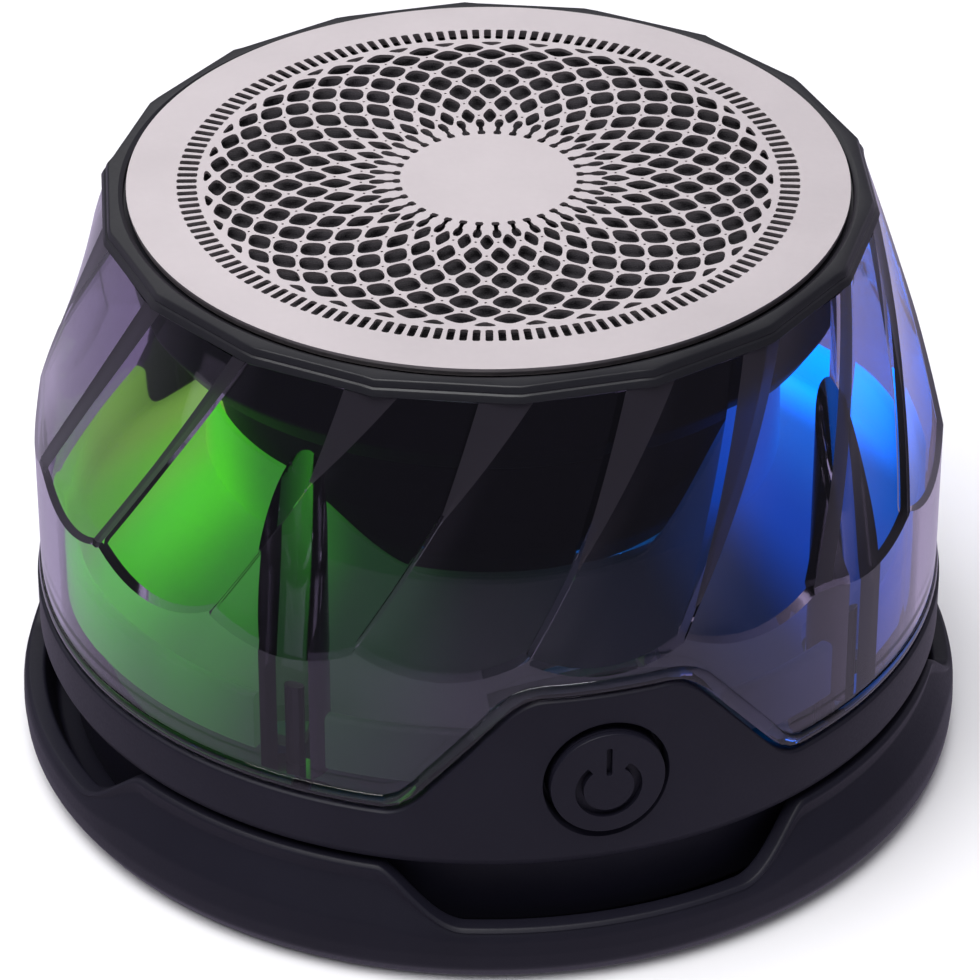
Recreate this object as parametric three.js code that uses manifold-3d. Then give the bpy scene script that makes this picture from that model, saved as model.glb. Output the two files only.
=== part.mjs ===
// A round battery speaker with a Bluetooth receiver: a dark base with one power button, a clear
// faceted light shell, and an up-firing driver under a flat pierced metal grille.
// Millimetres, +Z up, the front (the power button) towards -Y, the origin under the middle on the table.
import * as THREE from "three";
import { mergeVertices } from "three/addons/utils/BufferGeometryUtils.js";
import Module from "manifold-3d";

const wasm = await Module();
wasm.setup();

// ---- Driving dimensions -------------------------------------------------------------------------
const GAP = 0.3; // between pieces that touch on the real object
const WELD = 1e-4;
const THROUGH = 1; // by which a cutting tool passes the face it cuts
const SUNK = 0.5; // by which a piece that is joined starts inside the other

// Base ring: a saucer whose rim rises to four lips, with four notches between them
const RING_BOTTOM_Z = 0.25;
const RING_BOTTOM_R = 43.8;
const RING_BELLY = { r: 44.9, z: 3.5 };
const RING_NOTCH = { r: 44.5, z: 6.2 };
const RING_LIP = { r: 43.0, z: 11.3 };
const RING_WALL = 1.7;
const RING_FLOOR = { low: 1.5, high: 3.1, bore: 18 };
const RING_SIDE = [{ inward: 0.3, up: 0.5 }, { inward: 0.85, up: 0.8 }]; // shares of the way, belly to lip
const RING_COVE = { wide: 0.5, high: 1.5, clear: 0.4 }; // the corner between the wall and the floor
const LIP_PITCH = 90; // degrees; the lips stand at 45, 135, 225 and 315
const LIP_TOP_HALF = 15.2;
const LIP_FOOT_HALF = 25.5;
const PAD = { r: 40.6, thick: 1.2 };

// Base housing: a cup inside the ring that widens into the visible band, with a tab for the button
const CUP = { r: 40.2, wall: 1.6, low: 3.6, floor: 1.5 };
const BAND = { r: 42.95, wall: 1.95, low: 12.0, high: 17.4 };
const TAB = { high: 29.8, topHalf: 10, footHalf: 24.5, r: 42.8, round: 0.18 };
const BAND_EDGE = { chamfer: 0.6, step: 0.55, fold: 0.4, inner: 0.9 };

// Light shell: a plain drum below, then 18 flats that lean in and twist by one flat on the way up
const SHELL = { r: 42.55, wall: 1.65, high: 56.2, tabClear: 1 };
const FLATS = 18;
const FLAT_PITCH = 360 / FLATS;
const FLAT_UNEVEN = 0.45; // degrees by which every second flat is narrower on each side
const FLAT_LOW_Z = 31.8;
const TWIST_LOW_Z = 34;
const LEAN_HEIGHTS = [39, 45, 51]; // between the start of the twist and the shell's top
// Four posts run into the wall; the screws stand nearer the axis than the posts' own middles
const BOSS = { ring: 38.9, r: 3.1, low: 18.5, high: 53, bore: 1.2, boreHigh: 31, clear: 0.4 };
const BOSS_AZIMUTHS = [40, 140, 220, 320];
const SCREW_RING = 37.5;

// Top: bezel, cloth and grille
const TOP_Z = 58.2;
const BEZEL = { apothem: 34.7, high: 57.78, low: 56.5, collarR: 32.3, collarLow: 54.8, bore: 30 };
const GRILLE = { r: 33, thick: 0.8, blank: 8.1, webR: 26.4, rows: 3, perRow: 12, bar: 0.5 };
const CLOTH = { r: 31.7, low: 56.9, thick: 0.15 };

// Driver, from its frame's flange down to the yoke; the cone, cap and coil move together
const FLANGE = { r: 29.6, inner: 24.8, low: 51.4, high: 52.6 };
const FRAME_FLOOR = { r: 17.4, inner: 8.6, low: 42.0, high: 43.5 };
const CONE = { neck: 6.95, low: 45.3, r: 21.3, high: 52.6, rimThick: 0.5, rimWide: 1.3, thick: 0.65 };
const COIL = { inner: 6.25, r: 6.6, low: 37.5, high: 46.4 };
const CAP = { r: 8.6, low: 47.1, rise: 2.5, thick: 0.4 };
const ROLL = { middle: 23.4, half: 2.0, low: 52.9, thick: 0.4, innerLip: 19.6, outerLip: 27.4 };
const SPIDER = { inner: 6.95, r: 14.8, low: 43.8, thick: 0.4, waves: 2, rise: 0.5 };
const TOP_PLATE = { inner: 6.95, r: 15.5, low: 39.0, high: 41.7 };
const MAGNET = { inner: 9.0, r: 15.8, low: 33.5, high: 38.7 };
const YOKE = { r: 15.0, low: 30.8, high: 33.2, pole: 5.9 };
const GASKET = { inner: 26.2, r: 29.4, low: 53.6, high: 54.5 };
const TERMINALS = { low: [17.9, -3, 43.0], high: [21.8, 3, 43.8] };
const BASKET = { wall: 1.2, lip: 1.4, cove: 1.1 };
const BASKET_WINDOW = { half: 7, low: 45.2, high: 49.6, far: 40 };

// Bowl round the driver, as [radius, z] corners: its outside from the bottom up, then its inside back down
const POD_OUTLINE = [
  [0, 23.6], [12, 24.4], [20, 28], [24, 33], [24.8, 37], [25.2, 43.2], [30.4, 46.5], [32.1, 49],
  [32.2, 54.5], [31, 54.5], [30.9, 51.1], [28, 51.1], [28, 49.6], [29.6, 47.4], [23.8, 43.9], [23.4, 37],
  [22.6, 33.4], [19.2, 29.2], [11.6, 25.8], [0, 25],
];
const POD_HOLE = { x: 9, r: 2.7 }; // the speaker leads leave the bowl here

// Light: the frosted cone, turned up into a sleeve inside the shell, over a ring board of LEDs
const DIFFUSER = { inner: 25.3, innerZ: 32, footR: 38.6, outer: 40.2, outerZ: 19.5, thick: 1.2 };
const SLEEVE_HIGH = 25.2;
const SWITCH_POCKET = { low: [-8.5, -45, 15], high: [8.5, -32.9, 35] };
const LED_BOARD = { inner: 22, r: 31.4, low: 15.6, high: 16.8 };
const LED = { count: 8, ring: 27.5, side: 5, thick: 1.6 };

// Electronics in the cup
const BOARD = { r: 37.3, low: 12.0, high: 13.2, clear: 0.5, hole: 1.3 };
const POST = { r: 2.7, high: 18.2, bore: 1.2, seatR: 2.3, seatDeep: 3.4 };
const STANDOFF = { ring: 27, r: 2.3, high: 11.7, bore: 1.1, boreLow: 6.5, azimuths: [0, 90, 180, 270] };
const RING_BOLT = {
  ring: 24, azimuths: [45, 135, 225, 315], hole: 1.3, seatR: 2.4, seatUp: 0.6,
  bossR: 2.4, bossHigh: 8.8, bore: 1.1, boreHigh: 7.8,
};
const BATTERY = { low: [-17, -13, 5.4], high: [17, 13, 10.6] };
const PORT = { wide: 8.94, tall: 3.2, deep: 7.3, z: 15.15, wall: 0.35, back: 42.65 };
const TONGUE = { half: 3.35, thick: 0.7, from: 35.95, to: 41.75 };
const SPACER = { ring: 29.2, r: 1.6, azimuths: [60, 120, 240, 300] };

// Blocks that stand on the board: their corners across it, and how tall they are
const ON_BOARD = {
  bluetooth_module: { from: [-19, 4], to: [-7, 19], tall: 1.8, finish: "silverWrap" },
  amplifier_chip: { from: [-6, -14], to: [0, -8], tall: 1.0, finish: "chip" },
  charger_chip: { from: [-3, 20.5], to: [1.5, 24], tall: 0.9, finish: "chip" },
  speaker_socket: { from: [5.5, -3.6], to: [12.5, 3.6], tall: 2.4, finish: "whiteBoard" },
};
const LEAD = {
  side: 1.2, r: 0.5, steps: 14,
  route: [[19.6, 42.7], [19.6, 38], [19.4, 32.6], [16.2, 29], [11, 28.4], [9, 26.5], [9, 22], [9, 16.2]],
};

// Power button: a round cap that stands a little proud of the tab, against a switch behind it
const BUTTON = {
  z: 20.8, r: 5.25, proud: 0.7, well: 5.7, wellFront: -46, wellBack: -38.6,
  flangeR: 6.3, flangeY: -40.0, flangeThick: 0.8, stemR: 1.3,
};
const SWITCH = { side: 4.5, front: -37.4, back: -34.3, plungerR: 1.2, plungerFront: -38.0, plungerIn: 1.6 };
const SWITCH_BOARD = { half: 6, thick: 0.8, low: 13.6, high: 23.6 };

// Screws: head radius and height, shank radius and the height its tip reaches
const CASE_SCREW = { headR: 2.0, headHigh: 2.0, shankR: 0.9, tip: 27, up: 1.0 };
const RING_SCREW = { headR: 2.1, headHigh: 0.7, shankR: 0.8, tip: 7.4 };
const BOARD_SCREW = { headR: 1.9, headHigh: 1.2, shankR: 0.8, tip: 7.5 };

const RING_COLUMNS = 72;
const SMOOTH = 60;
const ROUND = 36;
const SMALL = 10;
const DRIVER_ROUND = 28;

// ---- Geometry helpers ---------------------------------------------------------------------------
const radians = THREE.MathUtils.degToRad;
const MIDDLE = new THREE.Vector3();

// Azimuth counts from the front, -Y, towards +X.
function around(radius, azimuth, z) {
  const a = radians(azimuth);
  return new THREE.Vector3(radius * Math.sin(a), -radius * Math.cos(a), z);
}

function solidOf(geometry) {
  const plain = new THREE.BufferGeometry();
  plain.setAttribute("position", geometry.getAttribute("position").clone());
  if (geometry.index) plain.setIndex(geometry.index.clone());
  const merged = mergeVertices(plain, WELD);
  const faces = [];
  for (let i = 0; i < merged.index.count; i += 3) {
    const [a, b, c] = [0, 1, 2].map((k) => merged.index.getX(i + k));
    if (a !== b && b !== c && c !== a) faces.push([a, b, c]);
  }
  const made = (list) =>
    new wasm.Manifold(
      new wasm.Mesh({
        numProp: 3,
        vertProperties: new Float32Array(merged.attributes.position.array),
        triVerts: new Uint32Array(list.flat()),
      }),
    );
  const solid = made(faces);
  return solid.volume() > 0 ? solid : made(faces.map(([a, b, c]) => [a, c, b]));
}

function geometryOf(solid) {
  const { numProp, numVert, vertProperties, triVerts } = solid.getMesh();
  const points = new Float32Array(numVert * 3);
  for (let i = 0; i < numVert; i++) {
    points.set(vertProperties.subarray(i * numProp, i * numProp + 3), i * 3);
  }
  const geometry = new THREE.BufferGeometry();
  geometry.setAttribute("position", new THREE.BufferAttribute(points, 3));
  geometry.setIndex(new THREE.BufferAttribute(new Uint32Array(triVerts), 1));
  geometry.computeVertexNormals();
  return geometry;
}

// A solid of revolution from a closed [radius, z] outline.
function turned(outline, segments = ROUND) {
  const points = [...outline, outline[0]].map(([r, z]) => new THREE.Vector2(r, z));
  return solidOf(new THREE.LatheGeometry(points, segments).rotateX(Math.PI / 2));
}

function tube(inner, outer, low, high, segments = DRIVER_ROUND) {
  return turned([[inner, low], [outer, low], [outer, high], [inner, high]], segments);
}

function rod(radius, low, high, centre = MIDDLE, segments = SMALL) {
  const shape = new THREE.CylinderGeometry(radius, radius, high - low, segments);
  shape.rotateX(Math.PI / 2);
  return solidOf(shape.translate(centre.x, centre.y, (low + high) / 2));
}

// A rod along Y, from y = front to y = back.
function rodAlongY(radius, front, back, z, segments = ROUND) {
  const shape = new THREE.CylinderGeometry(radius, radius, back - front, segments);
  return solidOf(shape.translate(0, (front + back) / 2, z));
}

function block(low, high) {
  const size = high.map((value, i) => value - low[i]);
  const middle = high.map((value, i) => (value + low[i]) / 2);
  return solidOf(new THREE.BoxGeometry(...size).translate(...middle));
}

// A closed skin round the axis: one loop of points at each column, joined to the next column.
function skinned(columns) {
  const count = columns.length;
  const loop = columns[0].length;
  const faces = [];
  for (let i = 0; i < count; i++) {
    for (let k = 0; k < loop; k++) {
      const [a, b] = [i * loop + k, i * loop + ((k + 1) % loop)];
      const [c, d] = [((i + 1) % count) * loop + k, ((i + 1) % count) * loop + ((k + 1) % loop)];
      faces.push(a, b, d, a, d, c);
    }
  }
  const geometry = new THREE.BufferGeometry().setFromPoints(columns.flat());
  return solidOf(geometry.setIndex(faces));
}

function joined(solids) {
  return solids.reduce((all, one) => all.add(one));
}

function cut(solid, tools) {
  return tools.reduce((rest, tool) => rest.subtract(tool), solid);
}

// 0 before 0, 1 after 1, straight between, with both corners rounded over a width of "round".
function roundedRamp(t, round) {
  if (t <= -round) return 0;
  if (t < round) return (t + round) ** 2 / (4 * round);
  if (t <= 1 - round) return t;
  if (t < 1 + round) return 1 - (1 + round - t) ** 2 / (4 * round);
  return 1;
}

// ---- Shared outlines ----------------------------------------------------------------------------
function ringLift(azimuth) {
  const inPitch = THREE.MathUtils.euclideanModulo(azimuth, LIP_PITCH);
  const fromLip = Math.abs(inPitch - LIP_PITCH / 2);
  return 1 - THREE.MathUtils.smoothstep(fromLip, LIP_TOP_HALF, LIP_FOOT_HALF);
}

// "wider" degrees are added on each side where a piece has to clear the tab.
function tabTop(azimuth, wider = 0) {
  const side = Math.abs(THREE.MathUtils.euclideanModulo(azimuth + 180, 360) - 180) - wider;
  const t = (TAB.footHalf - side) / (TAB.footHalf - TAB.topHalf);
  return BAND.high + (TAB.high - BAND.high) * roundedRamp(t, TAB.round);
}

function flatCorner(k) {
  return FLAT_PITCH * (k + 0.5) + (k % 2 === 0 ? -FLAT_UNEVEN : FLAT_UNEVEN);
}

const SHELL_LEAN = (SHELL.r - BEZEL.apothem) / (BEZEL.high - FLAT_LOW_Z); // millimetres in per millimetre up

function flatApothem(z) {
  return BEZEL.apothem + SHELL_LEAN * (BEZEL.high - z);
}

// ---- Enclosure ----------------------------------------------------------------------------------
function makeBaseRing() {
  const hollowR = RING_LIP.r - RING_WALL + RING_COVE.clear;
  const columns = [];
  for (let i = 0; i < RING_COLUMNS; i++) {
    const azimuth = (i * 360) / RING_COLUMNS;
    const lift = ringLift(azimuth);
    const top = THREE.MathUtils.lerp(RING_NOTCH.z, RING_LIP.z, lift);
    const topR = THREE.MathUtils.lerp(RING_NOTCH.r, RING_LIP.r, lift);
    const outline = [
      [RING_FLOOR.bore, RING_FLOOR.low],
      [PAD.r + GAP, RING_FLOOR.low],
      [PAD.r + GAP, RING_BOTTOM_Z],
      [RING_BOTTOM_R, RING_BOTTOM_Z],
      [RING_BELLY.r, RING_BELLY.z],
      ...RING_SIDE.map(({ inward, up }) => [
        THREE.MathUtils.lerp(RING_BELLY.r, topR, inward),
        THREE.MathUtils.lerp(RING_BELLY.z, top, up),
      ]),
      [topR, top],
      [topR - RING_WALL, top],
      [hollowR + RING_COVE.wide, RING_FLOOR.high + RING_COVE.high],
      [hollowR, RING_FLOOR.high],
      [RING_FLOOR.bore, RING_FLOOR.high],
    ];
    columns.push(outline.map(([r, z]) => around(r, azimuth, z)));
  }
  const tools = RING_BOLT.azimuths.flatMap((azimuth) => {
    const at = around(RING_BOLT.ring, azimuth, 0);
    return [
      rod(RING_BOLT.hole, RING_FLOOR.low - THROUGH, RING_FLOOR.high + THROUGH, at),
      rod(RING_BOLT.seatR, RING_FLOOR.low - THROUGH, RING_FLOOR.high - RING_BOLT.seatUp, at),
    ];
  });
  return cut(skinned(columns), tools);
}

function makeFootPad() {
  return rod(PAD.r, 0, PAD.thick, MIDDLE, SMOOTH);
}

function makeBaseHousing() {
  const columns = [];
  const inner = CUP.r - CUP.wall;
  const coarse = { from: 30, to: 330, step: 7.5 };
  const fine = { from: -30, to: 30, step: 3 };
  const azimuths = [coarse, fine].flatMap(({ from, to, step }) =>
    Array.from({ length: (to - from) / step }, (_, i) => from + i * step),
  );
  azimuths.sort((a, b) => a - b);
  for (const azimuth of azimuths) {
    const top = tabTop(azimuth);
    const rise = (top - BAND.high) / (TAB.high - BAND.high);
    const topR = THREE.MathUtils.lerp(BAND.r, TAB.r, rise);
    const outline = [
      [0, CUP.low],
      [CUP.r - BAND_EDGE.chamfer, CUP.low],
      [CUP.r, CUP.low + BAND_EDGE.chamfer],
      [CUP.r, BAND.low],
      [BAND.r - BAND_EDGE.step, BAND.low],
      [BAND.r, BAND.low + BAND_EDGE.chamfer],
      [BAND.r, BAND.high - BAND_EDGE.fold],
      [topR, top],
      [topR - BAND.wall, top],
      [BAND.r - BAND.wall, BAND.low + BAND_EDGE.inner],
      [inner, BAND.low + BAND_EDGE.fold],
      [inner, CUP.low + CUP.floor],
      [0, CUP.low + CUP.floor],
    ];
    columns.push(outline.map(([r, z]) => around(r, azimuth, z)));
  }
  const floorTop = CUP.low + CUP.floor;
  const posts = BOSS_AZIMUTHS.map((azimuth) =>
    rod(POST.r, floorTop - SUNK, POST.high, around(SCREW_RING, azimuth, 0), 14),
  );
  const standoffs = STANDOFF.azimuths.map((azimuth) =>
    rod(STANDOFF.r, floorTop - SUNK, STANDOFF.high, around(STANDOFF.ring, azimuth, 0)),
  );
  const ringBosses = RING_BOLT.azimuths.map((azimuth) =>
    rod(RING_BOLT.bossR, floorTop - SUNK, RING_BOLT.bossHigh, around(RING_BOLT.ring, azimuth, 0)),
  );
  const tools = [
    ...BOSS_AZIMUTHS.flatMap((azimuth) => [
      rod(POST.bore, CUP.low - THROUGH, POST.high + THROUGH, around(SCREW_RING, azimuth, 0)),
      rod(POST.seatR, CUP.low - THROUGH, CUP.low + POST.seatDeep, around(SCREW_RING, azimuth, 0)),
    ]),
    ...STANDOFF.azimuths.map((azimuth) =>
      rod(STANDOFF.bore, STANDOFF.boreLow, STANDOFF.high + THROUGH, around(STANDOFF.ring, azimuth, 0)),
    ),
    ...RING_BOLT.azimuths.map((azimuth) =>
      rod(RING_BOLT.bore, CUP.low - THROUGH, RING_BOLT.boreHigh, around(RING_BOLT.ring, azimuth, 0)),
    ),
    rodAlongY(BUTTON.well, BUTTON.wellFront, BUTTON.wellBack, BUTTON.z, 32),
    block(
      [-PORT.wide / 2 - GAP, inner - 2 * THROUGH, PORT.z - PORT.tall / 2 - GAP],
      [PORT.wide / 2 + GAP, BAND.r + 2 * THROUGH, PORT.z + PORT.tall / 2 + GAP],
    ),
  ];
  return cut(joined([skinned(columns), ...posts, ...standoffs, ...ringBosses]), tools);
}

// Columns follow the corners of the flats, so each leaning edge is a true edge of the solid.
function makeLightShell() {
  const perFlat = 4;
  const upper = [FLAT_LOW_Z, TWIST_LOW_Z, ...LEAN_HEIGHTS, SHELL.high];
  const columns = [];
  const filledColumns = [];
  for (let k = 0; k < FLATS; k++) {
    const [from, to] = [flatCorner(k - 1), flatCorner(k)];
    for (let j = 0; j < perFlat; j++) {
      const local = THREE.MathUtils.lerp(-(to - from) / 2, (to - from) / 2, j / perFlat);
      const azimuth = (from + to) / 2 + local;
      const foot = tabTop(azimuth, SHELL.tabClear) + GAP;
      const skin = [foot, (foot + upper[0]) / 2, ...upper].map((z) => {
        const climb = Math.max(0, z - TWIST_LOW_Z) / (BEZEL.high - TWIST_LOW_Z);
        const r = Math.min(SHELL.r, flatApothem(z) / Math.cos(radians(local)));
        return { r, azimuth: azimuth + FLAT_PITCH * climb, z };
      });
      const outside = skin.map((p) => around(p.r, p.azimuth, p.z));
      const inside = [skin[0], ...skin.filter((_, i) => i > 0 && i % 2 === 1)].map((p) =>
        around(Math.min(SHELL.r, flatApothem(p.z)) - SHELL.wall, p.azimuth, p.z),
      );
      columns.push([...outside, ...inside.reverse()]);
      // The bosses stop inside the wall, so that their tops don't break through its outer face.
      const buried = skin.map((p) => around(p.r - SHELL.wall / 2, p.azimuth, p.z));
      filledColumns.push([around(0, 0, BAND.high), ...buried, around(0, 0, SHELL.high)]);
    }
  }
  const filled = skinned(filledColumns);
  const bosses = BOSS_AZIMUTHS.map((azimuth) =>
    rod(BOSS.r, BOSS.low, BOSS.high, around(BOSS.ring, azimuth, 0), 16).intersect(filled),
  );
  const bores = BOSS_AZIMUTHS.map((azimuth) =>
    rod(BOSS.bore, BOSS.low - THROUGH, BOSS.boreHigh, around(SCREW_RING, azimuth, 0), 8),
  );
  return cut(joined([skinned(columns), ...bosses]), bores);
}

function makeTopBezel() {
  const outline = new THREE.Shape();
  for (let k = 0; k < FLATS; k++) {
    const corner = around(BEZEL.apothem / Math.cos(radians(FLAT_PITCH / 2)), flatCorner(k), 0);
    if (k === 0) outline.moveTo(corner.x, corner.y);
    else outline.lineTo(corner.x, corner.y);
  }
  outline.closePath();
  const thick = BEZEL.high - BEZEL.low;
  const plate = new THREE.ExtrudeGeometry(outline, { depth: thick, bevelEnabled: false });
  const collar = rod(BEZEL.collarR, BEZEL.collarLow, BEZEL.low + SUNK / 2, MIDDLE, ROUND);
  return cut(joined([solidOf(plate.translate(0, 0, BEZEL.low)), collar]), [
    rod(BEZEL.bore, BEZEL.collarLow - THROUGH, TOP_Z, MIDDLE, ROUND),
    rod(CLOTH.r + GAP, CLOTH.low - GAP, TOP_Z, MIDDLE, ROUND),
    rod(GRILLE.r + GAP, TOP_Z - GRILLE.thick - GAP, TOP_Z + THROUGH, MIDDLE, SMOOTH),
  ]);
}

// The plate keeps its solid middle and rim; the lozenge holes grow with their distance from the middle.
function makeGrille() {
  const plate = new THREE.Shape().absarc(0, 0, GRILLE.r, 0, Math.PI * 2);
  const overlap = 0.62; // half a hole's length, in row pitches: the rows reach into each other
  const margin = 0.8; // from the blank middle to the first row's centre, in row pitches
  const pitch = (GRILLE.webR - GRILLE.blank) / (GRILLE.rows - 1 + 2 * margin);
  for (let row = 0; row < GRILLE.rows; row++) {
    const r = GRILLE.blank + pitch * (row + margin);
    const wide = (Math.PI * r) / GRILLE.perRow - GRILLE.bar;
    for (let i = 0; i < GRILLE.perRow; i++) {
      const at = radians((360 / GRILLE.perRow) * (i + (row % 2) / 2));
      const corner = (along, across) =>
        new THREE.Vector2(
          (r + along) * Math.sin(at) + across * Math.cos(at),
          (r + along) * Math.cos(at) - across * Math.sin(at),
        );
      const half = pitch * overlap;
      const hole = [corner(-half, 0), corner(0, wide / 2), corner(half, 0), corner(0, -wide / 2)];
      plate.holes.push(new THREE.Path(hole).closePath());
    }
  }
  const options = { depth: GRILLE.thick, bevelEnabled: false, curveSegments: SMOOTH };
  return solidOf(new THREE.ExtrudeGeometry(plate, options).translate(0, 0, TOP_Z - GRILLE.thick));
}

function makeDriverPod() {
  const hole = rod(POD_HOLE.r, 20, 30, new THREE.Vector3(POD_HOLE.x, 0, 0));
  return cut(turned(POD_OUTLINE, DRIVER_ROUND), [hole]);
}

// ---- Driver -------------------------------------------------------------------------------------
function makeFrame() {
  const shoulder = FLANGE.inner + BASKET.lip;
  const floorInner = FRAME_FLOOR.r - BASKET.wall;
  const window = BASKET_WINDOW;
  const outline = [
    [FLANGE.r, FLANGE.low],
    [FLANGE.r, FLANGE.high],
    [FLANGE.inner, FLANGE.high],
    [FLANGE.inner, FLANGE.low - 0.2],
    [floorInner, FRAME_FLOOR.high + BASKET.cove],
    [floorInner, FRAME_FLOOR.high],
    [FRAME_FLOOR.inner, FRAME_FLOOR.high],
    [FRAME_FLOOR.inner, FRAME_FLOOR.low],
    [FRAME_FLOOR.r, FRAME_FLOOR.low],
    [FRAME_FLOOR.r, FRAME_FLOOR.high + 0.5],
    [shoulder, FLANGE.low - 0.8],
    [shoulder, FLANGE.low],
  ];
  return cut(turned(outline, DRIVER_ROUND), [
    block([-window.half, -window.far, window.low], [window.half, window.far, window.high]),
    block([-window.far, -window.half, window.low], [window.far, window.half, window.high]),
  ]);
}

function makeCone() {
  const rimLow = CONE.high - CONE.rimThick;
  const outline = [
    [CONE.neck, CONE.low],
    [CONE.r - CONE.rimWide, rimLow],
    [CONE.r, rimLow],
    [CONE.r, CONE.high],
    [CONE.r - CONE.rimWide - GAP, CONE.high],
    [CONE.neck, CONE.low + CONE.thick],
  ];
  return turned(outline, DRIVER_ROUND);
}

// A cap of a sphere: the inner face is the outer one lowered by its thickness.
function makeDustCap() {
  const steps = 4;
  const arc = (r, rise, low) =>
    Array.from({ length: steps + 1 }, (_, i) => {
      const t = i / steps;
      return [r * (1 - t), low + rise * (1 - (1 - t) ** 2)];
    });
  const outer = arc(CAP.r, CAP.rise, CAP.low);
  const inner = arc(CAP.r - CAP.thick, CAP.rise - CAP.thick, CAP.low);
  return turned([...outer, ...inner.reverse()], 24);
}

function makeSurround() {
  const steps = 5;
  const arc = (radius) =>
    Array.from({ length: steps + 1 }, (_, i) => {
      const a = Math.PI * (1 - i / steps);
      return [ROLL.middle + radius * Math.cos(a), ROLL.low + radius * Math.sin(a)];
    });
  const over = arc(ROLL.half).map(([r, z]) => [r, Math.max(z, ROLL.low + ROLL.thick)]);
  const under = arc(ROLL.half - ROLL.thick).reverse();
  const outline = [
    [ROLL.innerLip, ROLL.low],
    [ROLL.innerLip, ROLL.low + ROLL.thick],
    ...over,
    [ROLL.outerLip, ROLL.low + ROLL.thick],
    [ROLL.outerLip, ROLL.low],
    ...under,
  ];
  return turned(outline, DRIVER_ROUND);
}

function makeSpider() {
  const steps = SPIDER.waves * 4;
  const face = (lift) =>
    Array.from({ length: steps + 1 }, (_, i) => {
      const t = i / steps;
      const wave = SPIDER.rise * (1 - Math.cos(2 * Math.PI * SPIDER.waves * t)) * 0.5;
      return [THREE.MathUtils.lerp(SPIDER.inner, SPIDER.r, t), SPIDER.low + wave + lift];
    });
  return turned([...face(0), ...face(SPIDER.thick).reverse()], 24);
}

function makeYoke() {
  const outline = [
    [0, YOKE.low],
    [YOKE.r, YOKE.low],
    [YOKE.r, YOKE.high],
    [YOKE.pole, YOKE.high],
    [YOKE.pole, TOP_PLATE.high],
    [0, TOP_PLATE.high],
  ];
  return turned(outline, DRIVER_ROUND);
}

// ---- Light --------------------------------------------------------------------------------------
// A slot a little wider than a post, from its axis out past the wall, with a round inner end.
function postBay(azimuth) {
  const [low, high] = [SWITCH_POCKET.low[2], SWITCH_POCKET.high[2]];
  const half = BOSS.r + BOSS.clear;
  const deep = SHELL.r - BOSS.ring;
  const slot = new THREE.BoxGeometry(2 * half, deep, high - low);
  slot.translate(0, -BOSS.ring - deep / 2, (low + high) / 2).rotateZ(radians(azimuth));
  return rod(half, low, high, around(BOSS.ring, azimuth, 0), 16).add(solidOf(slot));
}

function makeDiffuser() {
  const sleeveInner = DIFFUSER.outer - DIFFUSER.thick;
  const outline = [
    [DIFFUSER.inner, DIFFUSER.innerZ - DIFFUSER.thick],
    [DIFFUSER.footR, DIFFUSER.outerZ],
    [DIFFUSER.outer, DIFFUSER.outerZ],
    [DIFFUSER.outer, SLEEVE_HIGH],
    [sleeveInner, SLEEVE_HIGH],
    [sleeveInner, DIFFUSER.outerZ + DIFFUSER.thick],
    [DIFFUSER.inner, DIFFUSER.innerZ],
  ];
  const pocket = block(SWITCH_POCKET.low, SWITCH_POCKET.high);
  return cut(turned(outline, ROUND), [...BOSS_AZIMUTHS.map(postBay), pocket]);
}

// ---- Button -------------------------------------------------------------------------------------
function makePowerButton() {
  const wide = BUTTON.r + THROUGH;
  const faceR = TAB.r + BUTTON.proud;
  const round = rod(faceR, BUTTON.z - wide, BUTTON.z + wide, MIDDLE, SMOOTH * 2);
  const blank = rodAlongY(BUTTON.r, -faceR - THROUGH, BUTTON.flangeY + SUNK / 2, BUTTON.z);
  const flangeBack = BUTTON.flangeY + BUTTON.flangeThick;
  const flange = rodAlongY(BUTTON.flangeR, BUTTON.flangeY, flangeBack, BUTTON.z);
  const stem = rodAlongY(BUTTON.stemR, flangeBack - SUNK / 2, SWITCH.plungerFront - GAP, BUTTON.z, SMALL);
  return joined([blank.intersect(round), flange, stem]);
}

function makeSwitch() {
  const half = SWITCH.side / 2;
  const body = block([-half, SWITCH.front, BUTTON.z - half], [half, SWITCH.back, BUTTON.z + half]);
  const boreBack = SWITCH.back - SWITCH.plungerIn + THROUGH;
  return cut(body, [rodAlongY(SWITCH.plungerR + GAP, SWITCH.front - THROUGH, boreBack, BUTTON.z, SMALL)]);
}

// ---- Leads and fasteners ------------------------------------------------------------------------
function makeLead(side) {
  const points = LEAD.route.map(([x, z]) => new THREE.Vector3(x, side * LEAD.side, z));
  const curve = new THREE.CatmullRomCurve3(points);
  const section = new THREE.Shape().absarc(0, 0, LEAD.r, 0, Math.PI * 2);
  const options = { steps: LEAD.steps, extrudePath: curve, curveSegments: 4, bevelEnabled: false };
  return solidOf(new THREE.ExtrudeGeometry(section, options));
}

// A screw with its head down at "low" and its shank up to "tip".
function screwUp(at, low, screw) {
  const headTop = low + screw.headHigh;
  return joined([rod(screw.headR, low, headTop, at), rod(screw.shankR, headTop - SUNK / 2, screw.tip, at)]);
}

// A screw with its head on top at "low" and its shank down to "tip".
function screwDown(at, low, screw) {
  const head = rod(screw.headR, low, low + screw.headHigh, at);
  return joined([head, rod(screw.shankR, screw.tip, low + SUNK / 2, at)]);
}

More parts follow.
